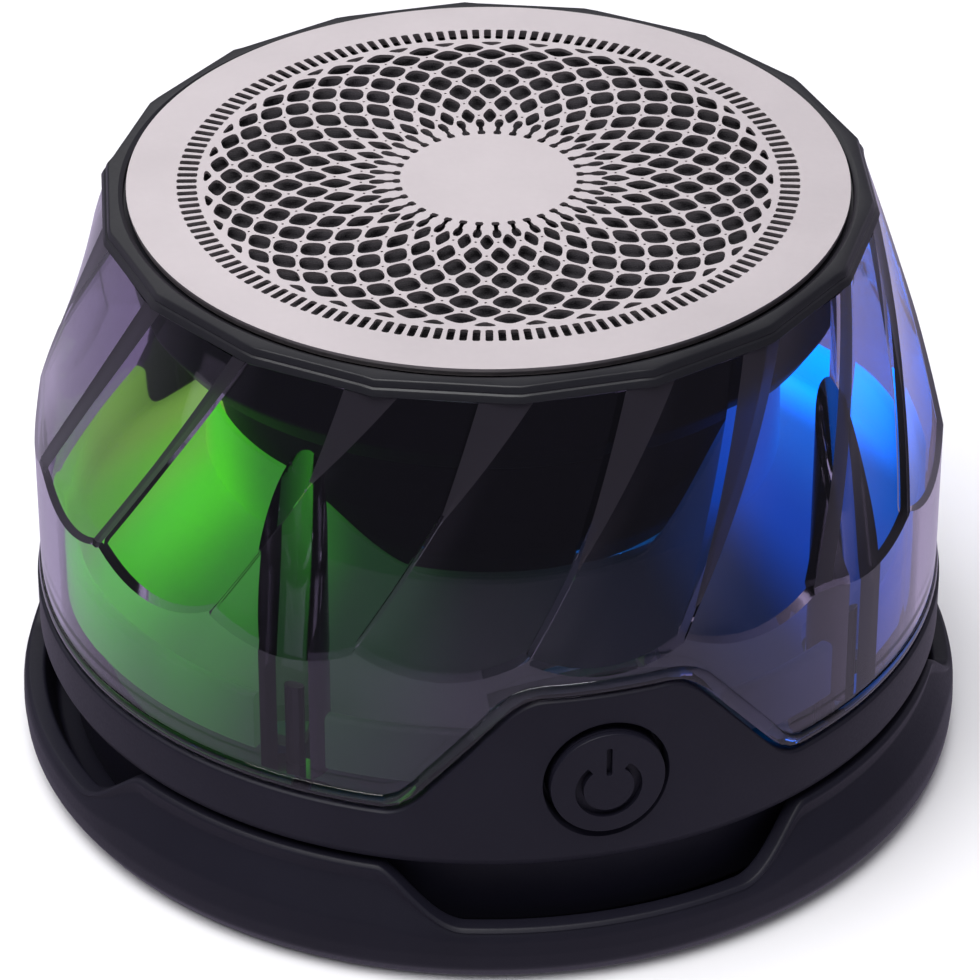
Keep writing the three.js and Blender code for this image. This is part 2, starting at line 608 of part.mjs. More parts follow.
// ---- Assembly -----------------------------------------------------------------------------------
const finishes = {
  softBlack: { color: 0x16141a, roughness: 0.6, metalness: 0 },
  glossBlack: { color: 0x0c0c0e, roughness: 0.25, metalness: 0 },
  smokedClear: { color: 0xb9b2c4, roughness: 0.05, metalness: 0, transparent: true, opacity: 0.3 },
  brushedSteel: { color: 0xc9c0bd, roughness: 0.35, metalness: 1 },
  cloth: { color: 0x1b1b1d, roughness: 0.95, metalness: 0 },
  frosted: { color: 0x9a9a9c, roughness: 0.5, metalness: 0 },
  blackPlastic: { color: 0x0e0e10, roughness: 0.45, metalness: 0 },
  steel: { color: 0x8d8f92, roughness: 0.4, metalness: 1 },
  ferrite: { color: 0x2a2a2d, roughness: 0.7, metalness: 0 },
  paper: { color: 0x1c1c1e, roughness: 0.9, metalness: 0 },
  rubber: { color: 0x101012, roughness: 0.8, metalness: 0 },
  foam: { color: 0x202022, roughness: 1, metalness: 0 },
  copper: { color: 0xb8733a, roughness: 0.35, metalness: 1 },
  spiderCloth: { color: 0xb98a3c, roughness: 0.9, metalness: 0 },
  greenBoard: { color: 0x12402a, roughness: 0.5, metalness: 0 },
  whiteBoard: { color: 0xd8d8d2, roughness: 0.5, metalness: 0 },
  ledLens: { color: 0xf2efd8, roughness: 0.3, metalness: 0 },
  chip: { color: 0x1a1a1c, roughness: 0.55, metalness: 0 },
  silverWrap: { color: 0xa8aab0, roughness: 0.4, metalness: 0.3 },
  redWire: { color: 0xa01818, roughness: 0.5, metalness: 0 },
  blackWire: { color: 0x151515, roughness: 0.5, metalness: 0 },
};

const speaker = new THREE.Group();
const enclosure = new THREE.Group();
const driver = new THREE.Group();
const light = new THREE.Group();
const electronics = new THREE.Group();
const button = new THREE.Group();
speaker.add(enclosure, driver, light, electronics, button);

function place(group, name, solid, finish) {
  const mesh = new THREE.Mesh(geometryOf(solid), new THREE.MeshStandardMaterial(finishes[finish]));
  mesh.name = name;
  group.add(mesh);
}

place(enclosure, "foot_pad", makeFootPad(), "rubber");
place(enclosure, "base_ring", makeBaseRing(), "softBlack");
place(enclosure, "base_housing", makeBaseHousing(), "softBlack");
place(enclosure, "light_shell", makeLightShell(), "smokedClear");
place(enclosure, "top_bezel", makeTopBezel(), "glossBlack");
place(enclosure, "grille", makeGrille(), "brushedSteel");
const cloth = rod(CLOTH.r, CLOTH.low, CLOTH.low + CLOTH.thick, MIDDLE, ROUND);
place(enclosure, "grille_cloth", cloth, "cloth");
place(enclosure, "driver_pod", makeDriverPod(), "glossBlack");

place(driver, "driver_gasket", tube(GASKET.inner, GASKET.r, GASKET.low, GASKET.high), "foam");
place(driver, "driver_frame", makeFrame(), "steel");
place(driver, "surround", makeSurround(), "rubber");
place(driver, "cone", makeCone(), "paper");
place(driver, "dust_cap", makeDustCap(), "paper");
place(driver, "voice_coil", tube(COIL.inner, COIL.r, COIL.low, COIL.high), "copper");
place(driver, "spider", makeSpider(), "spiderCloth");
place(driver, "top_plate", tube(TOP_PLATE.inner, TOP_PLATE.r, TOP_PLATE.low, TOP_PLATE.high), "steel");
place(driver, "magnet", tube(MAGNET.inner, MAGNET.r, MAGNET.low, MAGNET.high), "ferrite");
place(driver, "yoke", makeYoke(), "steel");
place(driver, "terminal_strip", block(TERMINALS.low, TERMINALS.high), "greenBoard");

place(light, "light_diffuser", makeDiffuser(), "frosted");
place(light, "led_board", tube(LED_BOARD.inner, LED_BOARD.r, LED_BOARD.low, LED_BOARD.high), "whiteBoard");
for (let i = 0; i < LED.count; i++) {
  const azimuth = (360 / LED.count) * (i + 0.5);
  const at = around(LED.ring, azimuth, LED_BOARD.high + GAP + LED.thick / 2);
  const lens = new THREE.BoxGeometry(LED.side, LED.side, LED.thick).rotateZ(radians(azimuth));
  place(light, `led_${i + 1}`, solidOf(lens.translate(at.x, at.y, at.z)), "ledLens");
}

const boardTop = BOARD.high + GAP;
const boardHole = (radius, ring, azimuth) =>
  rod(radius, BOARD.low - THROUGH, BOARD.high + THROUGH, around(ring, azimuth, 0), 16);
const mainBoard = cut(rod(BOARD.r, BOARD.low, BOARD.high, MIDDLE, ROUND), [
  ...BOSS_AZIMUTHS.map((azimuth) => boardHole(POST.r + BOARD.clear, SCREW_RING, azimuth)),
  ...STANDOFF.azimuths.map((azimuth) => boardHole(BOARD.hole, STANDOFF.ring, azimuth)),
]);
place(electronics, "main_board", mainBoard, "greenBoard");
place(electronics, "battery", block(BATTERY.low, BATTERY.high), "silverWrap");
for (const [name, { from, to, tall, finish }] of Object.entries(ON_BOARD)) {
  place(electronics, name, block([...from, boardTop], [...to, boardTop + tall]), finish);
}
SPACER.azimuths.forEach((azimuth, i) => {
  const spacer = rod(SPACER.r, boardTop, LED_BOARD.low - GAP, around(SPACER.ring, azimuth, 0));
  place(electronics, `board_spacer_${i + 1}`, spacer, "whiteBoard");
});

// The port's sleeve is a box less the same box made smaller and moved back; the tongue joins its blind end.
const portBox = (smaller, back) =>
  block(
    [-PORT.wide / 2 + smaller, PORT.back - PORT.deep + back, PORT.z - PORT.tall / 2 + smaller],
    [PORT.wide / 2 - smaller, PORT.back + back, PORT.z + PORT.tall / 2 - smaller],
  );
const tongue = block(
  [-TONGUE.half, TONGUE.from, PORT.z - TONGUE.thick / 2],
  [TONGUE.half, TONGUE.to, PORT.z + TONGUE.thick / 2],
);
const port = cut(portBox(0, 0), [portBox(PORT.wall, 1)]).add(tongue);
place(electronics, "charging_port", port, "steel");

const plungerBack = SWITCH.back - SWITCH.plungerIn;
const plunger = rodAlongY(SWITCH.plungerR, SWITCH.plungerFront, plungerBack, BUTTON.z, SMALL);
const switchBoard = block(
  [-SWITCH_BOARD.half, SWITCH.back + GAP, SWITCH_BOARD.low],
  [SWITCH_BOARD.half, SWITCH.back + GAP + SWITCH_BOARD.thick, SWITCH_BOARD.high],
);
place(button, "power_button", makePowerButton(), "softBlack");
place(button, "switch_plunger", plunger, "whiteBoard");
place(button, "power_switch", makeSwitch(), "steel");
place(button, "switch_board", switchBoard, "greenBoard");

place(electronics, "speaker_lead_1", makeLead(1), "redWire");
place(electronics, "speaker_lead_2", makeLead(-1), "blackWire");

BOSS_AZIMUTHS.forEach((azimuth, i) => {
  const screw = screwUp(around(SCREW_RING, azimuth, 0), CUP.low + CASE_SCREW.up, CASE_SCREW);
  place(enclosure, `case_screw_${i + 1}`, screw, "steel");
});
RING_BOLT.azimuths.forEach((azimuth, i) => {
  const screw = screwUp(around(RING_BOLT.ring, azimuth, 0), RING_FLOOR.low, RING_SCREW);
  place(enclosure, `ring_screw_${i + 1}`, screw, "steel");
});
STANDOFF.azimuths.forEach((azimuth, i) => {
  const screw = screwDown(around(STANDOFF.ring, azimuth, 0), boardTop, BOARD_SCREW);
  place(electronics, `board_screw_${i + 1}`, screw, "steel");
});

export default speaker;
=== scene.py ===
"""Visual model of a round clear-shell speaker with a Bluetooth receiver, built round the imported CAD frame.

Lengths are millimetres, except in names that end in _M and in the lights, which are in metres.
Azimuth counts in degrees from the front, -Y, where the power button is, towards +X.
The corners of a turned outline are (radius, height, rounding), and rounded() draws each rounding as a curve.
"""
import math

import bmesh
import bpy
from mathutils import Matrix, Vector


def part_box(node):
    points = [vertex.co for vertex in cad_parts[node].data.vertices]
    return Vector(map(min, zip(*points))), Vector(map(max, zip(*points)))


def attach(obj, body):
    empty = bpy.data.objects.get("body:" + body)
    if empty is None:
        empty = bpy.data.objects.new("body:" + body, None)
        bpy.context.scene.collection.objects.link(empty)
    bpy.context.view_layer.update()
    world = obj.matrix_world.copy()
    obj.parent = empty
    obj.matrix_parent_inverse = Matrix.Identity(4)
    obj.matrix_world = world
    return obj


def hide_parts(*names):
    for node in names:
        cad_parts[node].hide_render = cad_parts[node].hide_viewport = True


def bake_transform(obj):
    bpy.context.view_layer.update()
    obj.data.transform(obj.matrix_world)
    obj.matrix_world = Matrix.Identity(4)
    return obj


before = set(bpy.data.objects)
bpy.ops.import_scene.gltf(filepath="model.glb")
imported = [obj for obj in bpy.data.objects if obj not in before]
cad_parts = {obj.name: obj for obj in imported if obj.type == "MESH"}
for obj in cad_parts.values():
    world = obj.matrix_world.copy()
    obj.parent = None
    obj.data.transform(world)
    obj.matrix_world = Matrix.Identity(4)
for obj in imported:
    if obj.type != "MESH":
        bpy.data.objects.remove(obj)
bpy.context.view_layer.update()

MM = 0.001
WELD_M = 1e-7


def cad(node):
    """A node's lowest and highest corners, in millimetres."""
    low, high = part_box(node)
    return [c / MM for c in low], [c / MM for c in high]


# ---- Driving dimensions, from the frame where it gives them ----
TOP_Z = cad("grille")[1][2]
GRILLE_R = cad("grille")[1][0]
GRILLE_THICK = TOP_Z - cad("grille")[0][2]
BEZEL_LOW, BEZEL_HIGH = cad("top_bezel")[0][2], cad("top_bezel")[1][2]
SHELL_R = cad("light_shell")[1][0]
SHELL_HIGH = cad("light_shell")[1][2]
SHELL_FOOT = cad("light_shell")[0][2]
BEZEL_FOOT = SHELL_HIGH + 0.04
BAND_R = cad("base_housing")[1][0]
CUP_LOW, TAB_HIGH = cad("base_housing")[0][2], cad("base_housing")[1][2]
RING_R, LIP_HIGH = cad("base_ring")[1][0], cad("base_ring")[1][2]
RING_LOW = cad("base_ring")[0][2]
PAD_R, PAD_HIGH = cad("foot_pad")[1][0], cad("foot_pad")[1][2]
BUTTON_Z = (cad("switch_plunger")[0][2] + cad("switch_plunger")[1][2]) / 2

GAP = 0.3
BAND_HIGH = SHELL_FOOT - GAP
BAND_LOW = 12.0
CUP_R = 40.2
# The tab that the band sends up round the button: half its angle at the top and at the foot.
TAB = {"top_half": 10.0, "foot_half": 24.5, "r": 42.8, "round": 0.18}

# The shell's leaning flats, which twist by one flat from TWIST_LOW_Z up to the bezel's top. Their corners are
# FLAT_UNEVEN degrees to one side and the other in turn.
FLATS = 18
FLAT_PITCH = 360 / FLATS
FLAT_UNEVEN = 0.45
BEZEL_APOTHEM = 34.7
FLAT_LOW_Z = 31.8
TWIST_LOW_Z = 34.0
SHELL_WALL = 1.65
SHELL_LEAN = (SHELL_R - BEZEL_APOTHEM) / (BEZEL_HIGH - FLAT_LOW_Z)

# The four screw posts between the shell and the band.
BOSS_RING = 38.9
BOSS_R = 3.1
BOSS_LOW = 18.5
BOSS_AZIMUTHS = (40, 140, 220, 320)


# ---- Mesh helpers ----
def around(r, azimuth, z):
    a = math.radians(azimuth)
    return (r * math.sin(a), -r * math.cos(a), z)


def plan(r, azimuth):
    x, y, _ = around(r, azimuth, 0)
    return x, y


def lerp(a, b, t):
    return a + (b - a) * t


def smoothstep(x, low, high):
    t = min(max((x - low) / (high - low), 0.0), 1.0)
    return t * t * (3 - 2 * t)


def rounded(corners, steps=4):
    """A closed outline of (a, b, rounding) corners, with each rounding drawn as a short curve."""
    out = []
    count = len(corners)
    for i, (a, b, radius) in enumerate(corners):
        here = Vector((a, b))
        if not radius:
            out.append((a, b))
            continue
        back = Vector(corners[i - 1][:2]) - here
        ahead = Vector(corners[(i + 1) % count][:2]) - here
        turn = math.pi - back.angle(ahead)
        reach = min(radius * math.tan(turn / 2), 0.46 * back.length, 0.46 * ahead.length)
        start, end = here + back.normalized() * reach, here + ahead.normalized() * reach
        for k in range(steps + 1):
            t = k / steps
            p = start * (1 - t) ** 2 + here * 2 * t * (1 - t) + end * t ** 2
            out.append((p.x, p.y))
    return out


def welded(name, mesh, material, sharp):
    """An object from a mesh whose coinciding points are joined and whose faces are turned outwards."""
    bm = bmesh.new()
    bm.from_mesh(mesh)
    bmesh.ops.remove_doubles(bm, verts=bm.verts, dist=WELD_M)
    bmesh.ops.recalc_face_normals(bm, faces=bm.faces)
    bm.to_mesh(mesh)
    bm.free()
    obj = bpy.data.objects.new(name, mesh)
    bpy.context.scene.collection.objects.link(obj)
    return dress(obj, material, sharp)


def dress(obj, material, sharp=35):
    """Gives the object one material, and smooth shading below the sharp angle."""
    obj.data.materials.clear()
    obj.data.materials.append(material)
    for face in obj.data.polygons:
        face.use_smooth = True
    obj.data.set_sharp_from_angle(angle=math.radians(sharp))
    return obj


def build(name, points, faces, material, sharp=35):
    mesh = bpy.data.meshes.new(name)
    mesh.from_pydata([tuple(c * MM for c in p) for p in points], [], faces)
    return welded(name, mesh, material, sharp)


def loft(name, columns, material, sharp=35, ring=True):
    """A skin over columns that are closed loops, either in a ring or with a cap on both ends."""
    count, loop = len(columns), len(columns[0])
    faces = []
    for i in range(count if ring else count - 1):
        for k in range(loop):
            a, b = i * loop + k, i * loop + (k + 1) % loop
            c, d = (i + 1) % count * loop + (k + 1) % loop, (i + 1) % count * loop + k
            faces.append((a, b, c, d))
    if not ring:
        faces += [tuple(range(loop)), tuple(range((count - 1) * loop, count * loop))]
    return build(name, [p for column in columns for p in column], faces, material, sharp)


def swept(name, outline_at, material, segments):
    """A ring of outlines, each from a function of its azimuth."""
    columns = []
    for i in range(segments):
        azimuth = 360 * i / segments
        columns.append([around(r, azimuth, z) for r, z in outline_at(azimuth)])
    return loft(name, columns, material)


def turned(name, outline, material, segments=96):
    return swept(name, lambda azimuth: outline, material, segments)


def prism(name, lower, upper, material):
    """A closed solid between two loops of as many points each."""
    return loft(name, [lower, upper], material, ring=False)


def plate(name, outlines, thick, material):
    """A flat plate on Z = 0 upwards: the first outline is its edge, the others are its holes."""
    curve = bpy.data.curves.new(name, "CURVE")
    curve.dimensions = "2D"
    curve.fill_mode = "BOTH"
    curve.extrude = thick / 2 * MM
    for outline in outlines:
        spline = curve.splines.new("POLY")
        spline.points.add(len(outline) - 1)
        for point, (x, y) in zip(spline.points, outline):
            point.co = (x * MM, y * MM, 0, 1)
        spline.use_cyclic_u = True
    source = bpy.data.objects.new(name + "_outline", curve)
    bpy.context.scene.collection.objects.link(source)
    graph = bpy.context.evaluated_depsgraph_get()
    mesh = bpy.data.meshes.new_from_object(source.evaluated_get(graph))
    bpy.data.objects.remove(source)
    bpy.data.curves.remove(curve)
    mesh.name = name
    for vertex in mesh.vertices:
        vertex.co.z += thick / 2 * MM
    return welded(name, mesh, material, 30)


def carve(obj, tools, sharp=35, operation="DIFFERENCE"):
    """Cuts each tool out of obj, or joins it on, and removes the tools."""
    for tool in tools:
        cut = obj.modifiers.new("cut", "BOOLEAN")
        cut.operation = operation
        cut.solver = "EXACT"
        cut.object = tool
    graph = bpy.context.evaluated_depsgraph_get()
    mesh = bpy.data.meshes.new_from_object(obj.evaluated_get(graph))
    obj.modifiers.clear()
    material = obj.data.materials[0]
    obj.data = mesh
    for tool in tools:
        bpy.data.objects.remove(tool)
    return dress(obj, material, sharp)


def moved(obj, mapping):
    """Moves every vertex by a function of its place in millimetres, which must not mirror the object."""
    for vertex in obj.data.vertices:
        vertex.co = Vector(mapping(*(vertex.co / MM))) * MM
    obj.data.update()
    return obj


def place(obj, body, *nodes, slot):
    """The piece rides on the body and stands for the CAD nodes, which it hides. The slot is not used."""
    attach(obj, body)
    if nodes:
        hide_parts(*nodes)


# ---- Materials ----
COARSE_GRAIN = 60.0
TINT_STOPS = (0.3, 0.7)
RELIEF_M = 0.0002
THREAD_RELIEF_M = 0.0001
ACRYLIC_IOR = 1.49
# Bands that Blender's wave texture makes in a metre at scale 1.
WAVES_PER_SCALE = 20 / math.tau


def nodes_of(material):
    tree = material.node_tree
    return tree, tree.nodes["Principled BSDF"]


def add(tree, kind, **settings):
    """A new node, with each setting on the input of that name or else on the node itself."""
    node = tree.nodes.new(kind)
    for key, value in settings.items():
        if key in node.inputs:
            node.inputs[key].default_value = value
        else:
            setattr(node, key, value)
    return node


def set_range(node, **ends):
    """Sets a Map Range node's inputs, such as from_min."""
    for end, value in ends.items():
        node.inputs[end.replace("_", " ").title()].default_value = value
    return node


def shaded(name, colour, roughness, metallic=0.0, grain=2500, bump=0.02, vary=0.15, rough_vary=0.08,
           specular=0.5):
    """A surface whose colour, gloss and relief vary a little with a fine and a coarse noise."""
    material = bpy.data.materials.new(name)
    material.use_nodes = True
    tree, surface = nodes_of(material)
    surface.inputs["Metallic"].default_value = metallic
    surface.inputs["Specular IOR Level"].default_value = specular
    where = add(tree, "ShaderNodeTexCoord")
    fine = add(tree, "ShaderNodeTexNoise", Scale=grain, Detail=3.0)
    coarse = add(tree, "ShaderNodeTexNoise", Scale=COARSE_GRAIN, Detail=4.0)
    tint = add(tree, "ShaderNodeValToRGB")
    for stop, position, change in zip(tint.color_ramp.elements, TINT_STOPS, (-vary, vary)):
        stop.position = position
        stop.color = (*[min(c * (1 + change), 1) for c in colour], 1)
    gloss = set_range(add(tree, "ShaderNodeMapRange"), to_min=max(roughness - rough_vary, 0.02),
                      to_max=min(roughness + rough_vary, 1))
    relief = add(tree, "ShaderNodeBump", Strength=bump, Distance=RELIEF_M)
    link = tree.links.new
    link(where.outputs["Object"], fine.inputs["Vector"])
    link(where.outputs["Object"], coarse.inputs["Vector"])
    link(coarse.outputs["Fac"], tint.inputs["Fac"])
    link(tint.outputs["Color"], surface.inputs["Base Color"])
    link(fine.outputs["Fac"], gloss.inputs["Value"])
    link(gloss.outputs["Result"], surface.inputs["Roughness"])
    link(fine.outputs["Fac"], relief.inputs["Height"])
    link(relief.outputs["Normal"], surface.inputs["Normal"])
    return material


def clear_plastic(name, tint, roughness, through=1.0):
    material = shaded(name, tint, roughness, grain=120, bump=0.0, vary=0.02, rough_vary=0.01, specular=0.35)
    _, surface = nodes_of(material)
    surface.inputs["Transmission Weight"].default_value = through
    surface.inputs["IOR"].default_value = ACRYLIC_IOR
    return material


def woven(name, colour, pitch):
    """A plain weave: two sets of threads that pass over and under each other."""
    material = shaded(name, colour, 0.95, grain=4000, bump=0.05, vary=0.6)
    tree, surface = nodes_of(material)
    where = add(tree, "ShaderNodeTexCoord")
    scale = 1 / (WAVES_PER_SCALE * pitch * MM)
    waves = [add(tree, "ShaderNodeTexWave", bands_direction=way, Scale=scale) for way in "XY"]
    both = add(tree, "ShaderNodeMath", operation="MULTIPLY")
    relief = add(tree, "ShaderNodeBump", Strength=0.6, Distance=THREAD_RELIEF_M)
    link = tree.links.new
    for wave, socket in zip(waves, both.inputs):
        link(where.outputs["Object"], wave.inputs["Vector"])
        link(wave.outputs["Fac"], socket)
    link(both.outputs["Value"], relief.inputs["Height"])
    link(relief.outputs["Normal"], surface.inputs["Normal"])
    return material


# Colour of the light in the frosted cone round the azimuth, and how it falls from the cone's top to its foot.
GLOW_ROUND = ((-180, (0.01, 0.07, 0.06)), (-150, (0.05, 0.14, 0.01)), (-123, (0.13, 0.31, 0.03)),
              (-100, (0.09, 0.42, 0.02)), (-85, (0.05, 0.50, 0.01)), (-61, (0.02, 0.19, 0.01)),
              (-38, (0.004, 0.03, 0.005)), (-15, (0.001, 0.004, 0.002)), (15, (0.001, 0.003, 0.006)),
              (32, (0.002, 0.01, 0.04)), (52, (0.0, 0.045, 0.33)), (81, (0.0, 0.10, 0.50)),
              (109, (0.0, 0.55, 2.8)), (145, (0.0, 0.7, 2.6)), (180, (0.01, 0.07, 0.06)))
GLOW_FALL = {"low": 18.5, "high": 31.0, "foot": 0.55}
GLOW_MOTTLE = {"scale": 45.0, "least": 0.75, "most": 1.25}


def glow_colour(tree, split):
    """Nodes that turn the azimuth of a point into the colour of the light there."""
    link = tree.links.new
    forward = add(tree, "ShaderNodeMath", operation="MULTIPLY")
    forward.inputs[1].default_value = -1
    link(split.outputs["Y"], forward.inputs[0])
    angle = add(tree, "ShaderNodeMath", operation="ARCTAN2")
    link(split.outputs["X"], angle.inputs[0])
    link(forward.outputs["Value"], angle.inputs[1])
    turn = set_range(add(tree, "ShaderNodeMapRange"), from_min=-math.pi, from_max=math.pi)
    link(angle.outputs["Value"], turn.inputs["Value"])
    ramp = add(tree, "ShaderNodeValToRGB")
    ramp.color_ramp.interpolation = "EASE"
    for azimuth, shade in GLOW_ROUND[1:-1]:
        ramp.color_ramp.elements.new((azimuth + 180) / 360).color = (*shade, 1)
    ramp.color_ramp.elements[0].color = (*GLOW_ROUND[0][1], 1)
    ramp.color_ramp.elements[-1].color = (*GLOW_ROUND[-1][1], 1)
    link(turn.outputs["Result"], ramp.inputs["Fac"])
    return ramp.outputs["Color"]


def glowing(name, colour, gain):
    """Frosted plastic lit from below by the ring of LEDs: green on one side and blue on the other."""
    material = shaded(name, colour, 0.5, grain=1800, bump=0.05, vary=0.06)
    tree, surface = nodes_of(material)
    link = tree.links.new
    where = add(tree, "ShaderNodeTexCoord")
    split = add(tree, "ShaderNodeSeparateXYZ")
    link(where.outputs["Object"], split.inputs["Vector"])
    mottle = add(tree, "ShaderNodeTexNoise", Scale=GLOW_MOTTLE["scale"], Detail=2.0)
    link(where.outputs["Object"], mottle.inputs["Vector"])
    uneven = set_range(add(tree, "ShaderNodeMapRange"), to_min=GLOW_MOTTLE["least"] * gain,
                       to_max=GLOW_MOTTLE["most"] * gain)
    link(mottle.outputs["Fac"], uneven.inputs["Value"])
    fall = add(tree, "ShaderNodeMapRange", interpolation_type="SMOOTHSTEP")
    set_range(fall, from_min=GLOW_FALL["low"] * MM, from_max=GLOW_FALL["high"] * MM, to_min=GLOW_FALL["foot"])
    link(split.outputs["Z"], fall.inputs["Value"])
    power = add(tree, "ShaderNodeMath", operation="MULTIPLY")
    link(fall.outputs["Result"], power.inputs[0])
    link(uneven.outputs["Result"], power.inputs[1])
    link(glow_colour(tree, split), surface.inputs["Emission Color"])
    link(power.outputs["Value"], surface.inputs["Emission Strength"])
    return material


NIGHT = (0.0075, 0.0070, 0.0135)
SOFT_BLACK = shaded("soft_black", NIGHT, 0.5, grain=3500, bump=0.05, specular=0.22)
BUTTON_BLACK = shaded("button_black", NIGHT, 0.48, grain=3500, bump=0.05, specular=0.22)
RIM_BLACK = shaded("rim_black", (0.010, 0.010, 0.013), 0.36, grain=2500, bump=0.03, specular=0.3)
POD_BLACK = shaded("pod_black", (0.0016, 0.002, 0.004), 0.45, bump=0.02, specular=0.04)
METAL = shaded("etched_metal", (0.80, 0.735, 0.745), 0.42, metallic=1.0, grain=1600, bump=0.06, vary=0.05)
CLEAR = clear_plastic("smoked_clear", (0.56, 0.51, 0.63), 0.015)
# Painted shade: the posts are moulded in the wall's clear plastic, but take a darker tint in their middle and
# a nearly black, dull, barely clear finish at their sides.
POST_MIDDLE_SHADE = clear_plastic("post_middle_painted_shade", (0.16, 0.18, 0.19), 0.06)
POST_SIDE_SHADE = clear_plastic("post_side_painted_shade", (0.004, 0.004, 0.008), 0.2, through=0.12)
# Painted shade: the wide corner strips take a dark, rough, half-clear finish.
RIDGE_SHADE = clear_plastic("ridge_painted_shade", (0.026, 0.022, 0.032), 0.35, through=0.5)
CLOTH = woven("cloth", (0.013, 0.011, 0.014), 0.35)
FROSTED = glowing("frosted_plastic", (0.05, 0.055, 0.06), 2.2)
RUBBER = shaded("foot_rubber", (0.02, 0.02, 0.021), 0.75, grain=3000, bump=0.12)
SURROUND = shaded("surround_rubber", (0.015, 0.015, 0.016), 0.5, grain=2000, bump=0.05)
PAPER = shaded("cone_paper", (0.03, 0.03, 0.032), 0.85, grain=2600, bump=0.25)
STEEL = shaded("plated_steel", (0.45, 0.46, 0.47), 0.35, metallic=1.0, grain=900, bump=0.05)
BLACKENED = shaded("blackened_steel", (0.02, 0.02, 0.022), 0.4, metallic=0.6, grain=900, bump=0.05)
NICKEL = shaded("port_steel", (0.55, 0.56, 0.57), 0.25, metallic=1.0, grain=900, bump=0.03)
FERRITE = shaded("ferrite", (0.03, 0.03, 0.032), 0.7, grain=1200, bump=0.2)
COPPER = shaded("copper_winding", (0.75, 0.33, 0.16), 0.35, metallic=1.0, grain=1500, bump=0.1)
SPIDER = woven("spider_cloth", (0.5, 0.3, 0.09), 0.5)
FOAM = shaded("foam", (0.02, 0.02, 0.021), 1.0, grain=1800, bump=0.5)
GREEN_BOARD = shaded("green_board", (0.012, 0.1, 0.045), 0.4, grain=900, bump=0.05)
WHITE_BOARD = shaded("white_board", (0.72, 0.72, 0.7), 0.45, grain=900, bump=0.04)
TERMINAL = shaded("terminal_board", (0.28, 0.15, 0.05), 0.6, grain=900, bump=0.08)
FOIL = shaded("battery_wrap", (0.55, 0.56, 0.6), 0.35, metallic=0.8, grain=300, bump=0.12)
CHIP = shaded("chip_black", (0.02, 0.02, 0.022), 0.5, grain=2500, bump=0.08)
SOCKET = shaded("socket_plastic", (0.7, 0.67, 0.58), 0.5, grain=1500, bump=0.04)
RED_WIRE = shaded("red_wire", (0.45, 0.02, 0.02), 0.45, grain=1200, bump=0.05)
BLACK_WIRE = shaded("black_wire", (0.015, 0.015, 0.015), 0.45, grain=1200, bump=0.05)
LENS = shaded("led_lens", (0.85, 0.83, 0.6), 0.25, grain=900, bump=0.03)


# ---- Outlines shared by neighbours ----
def rounded_ramp(t, width):
    """0 below 0, t up to 1 and 1 above it, with both bends rounded over the width."""
    if t <= -width:
        return 0.0
    if t < width:
        return (t + width) ** 2 / (4 * width)
    if t <= 1 - width:
        return t
    if t < 1 + width:
        return 1 - (1 + width - t) ** 2 / (4 * width)
    return 1.0


def tab_top(azimuth, wider=0.0):
    """Height of the band's upper edge, which rises to a tab in front."""
    side = abs((azimuth + 180) % 360 - 180) - wider
    t = (TAB["foot_half"] - side) / (TAB["foot_half"] - TAB["top_half"])
    return BAND_HIGH + (TAB_HIGH - BAND_HIGH) * rounded_ramp(t, TAB["round"])


def flat_corner(k):
    return FLAT_PITCH * (k + 0.5) + (-FLAT_UNEVEN if k % 2 == 0 else FLAT_UNEVEN)


def flat_apothem(z):
    return BEZEL_APOTHEM + SHELL_LEAN * (BEZEL_HIGH - z)


def flat_columns(per_flat):
    """(azimuth, angle from the middle of its flat) for columns that share the flats' corners."""
    for k in range(FLATS):
        start, end = flat_corner(k - 1), flat_corner(k)
        for j in range(per_flat):
            local = lerp(-(end - start) / 2, (end - start) / 2, j / per_flat)
            yield (start + end) / 2 + local, local


# ---- Grille ----
GRILLE_SHEET = 0.3
GRILLE_SEAT_R = 28.6
EDGE_POINTS = 240
# The web of crossing lines. The rows past thin_rows, near the middle, have thicker lines.
WEB = {"lines": 36, "outer": 0.8, "step": 0.01656, "power": 1.5, "line": 0.29, "first": 2, "last": 9,
       "thin_rows": 7, "thicken": 0.07, "round": 1.15, "dot_r": 0.13, "phase": 5.15}
# (share of the grille's radius, half width) along the holes at the web's inner and outer ends.
KEYHOLE = ((0.244, 0.22), (0.248, 0.36), (0.259, 0.36), (0.266, 0.20), (0.284, 0.20),
           (0.292, 0.34), (0.305, 0.42), (0.320, 0.38), (0.330, 0.20))
SLIVER = ((0.766, 0.15), (0.771, 0.50), (0.777, 0.85), (0.783, 0.95), (0.787, 0.60))
SLOT = ((0.805, 0.22), (0.809, 0.34), (0.857, 0.34), (0.861, 0.22))
SLOTS = 154


def web_radius(k):
    """Radius of the web's k-th ring of crossings, counted inwards."""
    return GRILLE_R * (WEB["outer"] - WEB["step"] * k ** WEB["power"])


def inset(corners, by):
    """Moves each side of a convex outline inwards and returns the new corners."""
    middle = sum((Vector(c) for c in corners), Vector((0, 0))) / len(corners)
    lines = []
    for i, corner in enumerate(corners):
        a, b = Vector(corner), Vector(corners[(i + 1) % len(corners)])
        normal = Vector((-(b - a).y, (b - a).x)).normalized()
        if normal.dot(middle - a) < 0:
            normal.negate()
        lines.append((a + normal * by, (b - a).normalized()))
    out = []
    for i, (p, u) in enumerate(lines):
        q, v = lines[i - 1]
        cross = u.x * v.y - u.y * v.x
        t = ((q - p).x * v.y - (q - p).y * v.x) / cross
        out.append(p + u * t)
    return out


def cell_hole(k, azimuth):
    """The hole between four crossings, inside half a line's width."""
    half = 180 / WEB["lines"]
    corners = [plan(web_radius(k - 1), azimuth), plan(web_radius(k), azimuth + half),
               plan(web_radius(k + 1), azimuth), plan(web_radius(k), azimuth - half)]
    small = inset(corners, WEB["line"] / 2 + WEB["thicken"] * max(0, k - WEB["thin_rows"]))
    return rounded([(p.x, p.y, WEB["round"]) for p in small], 4)


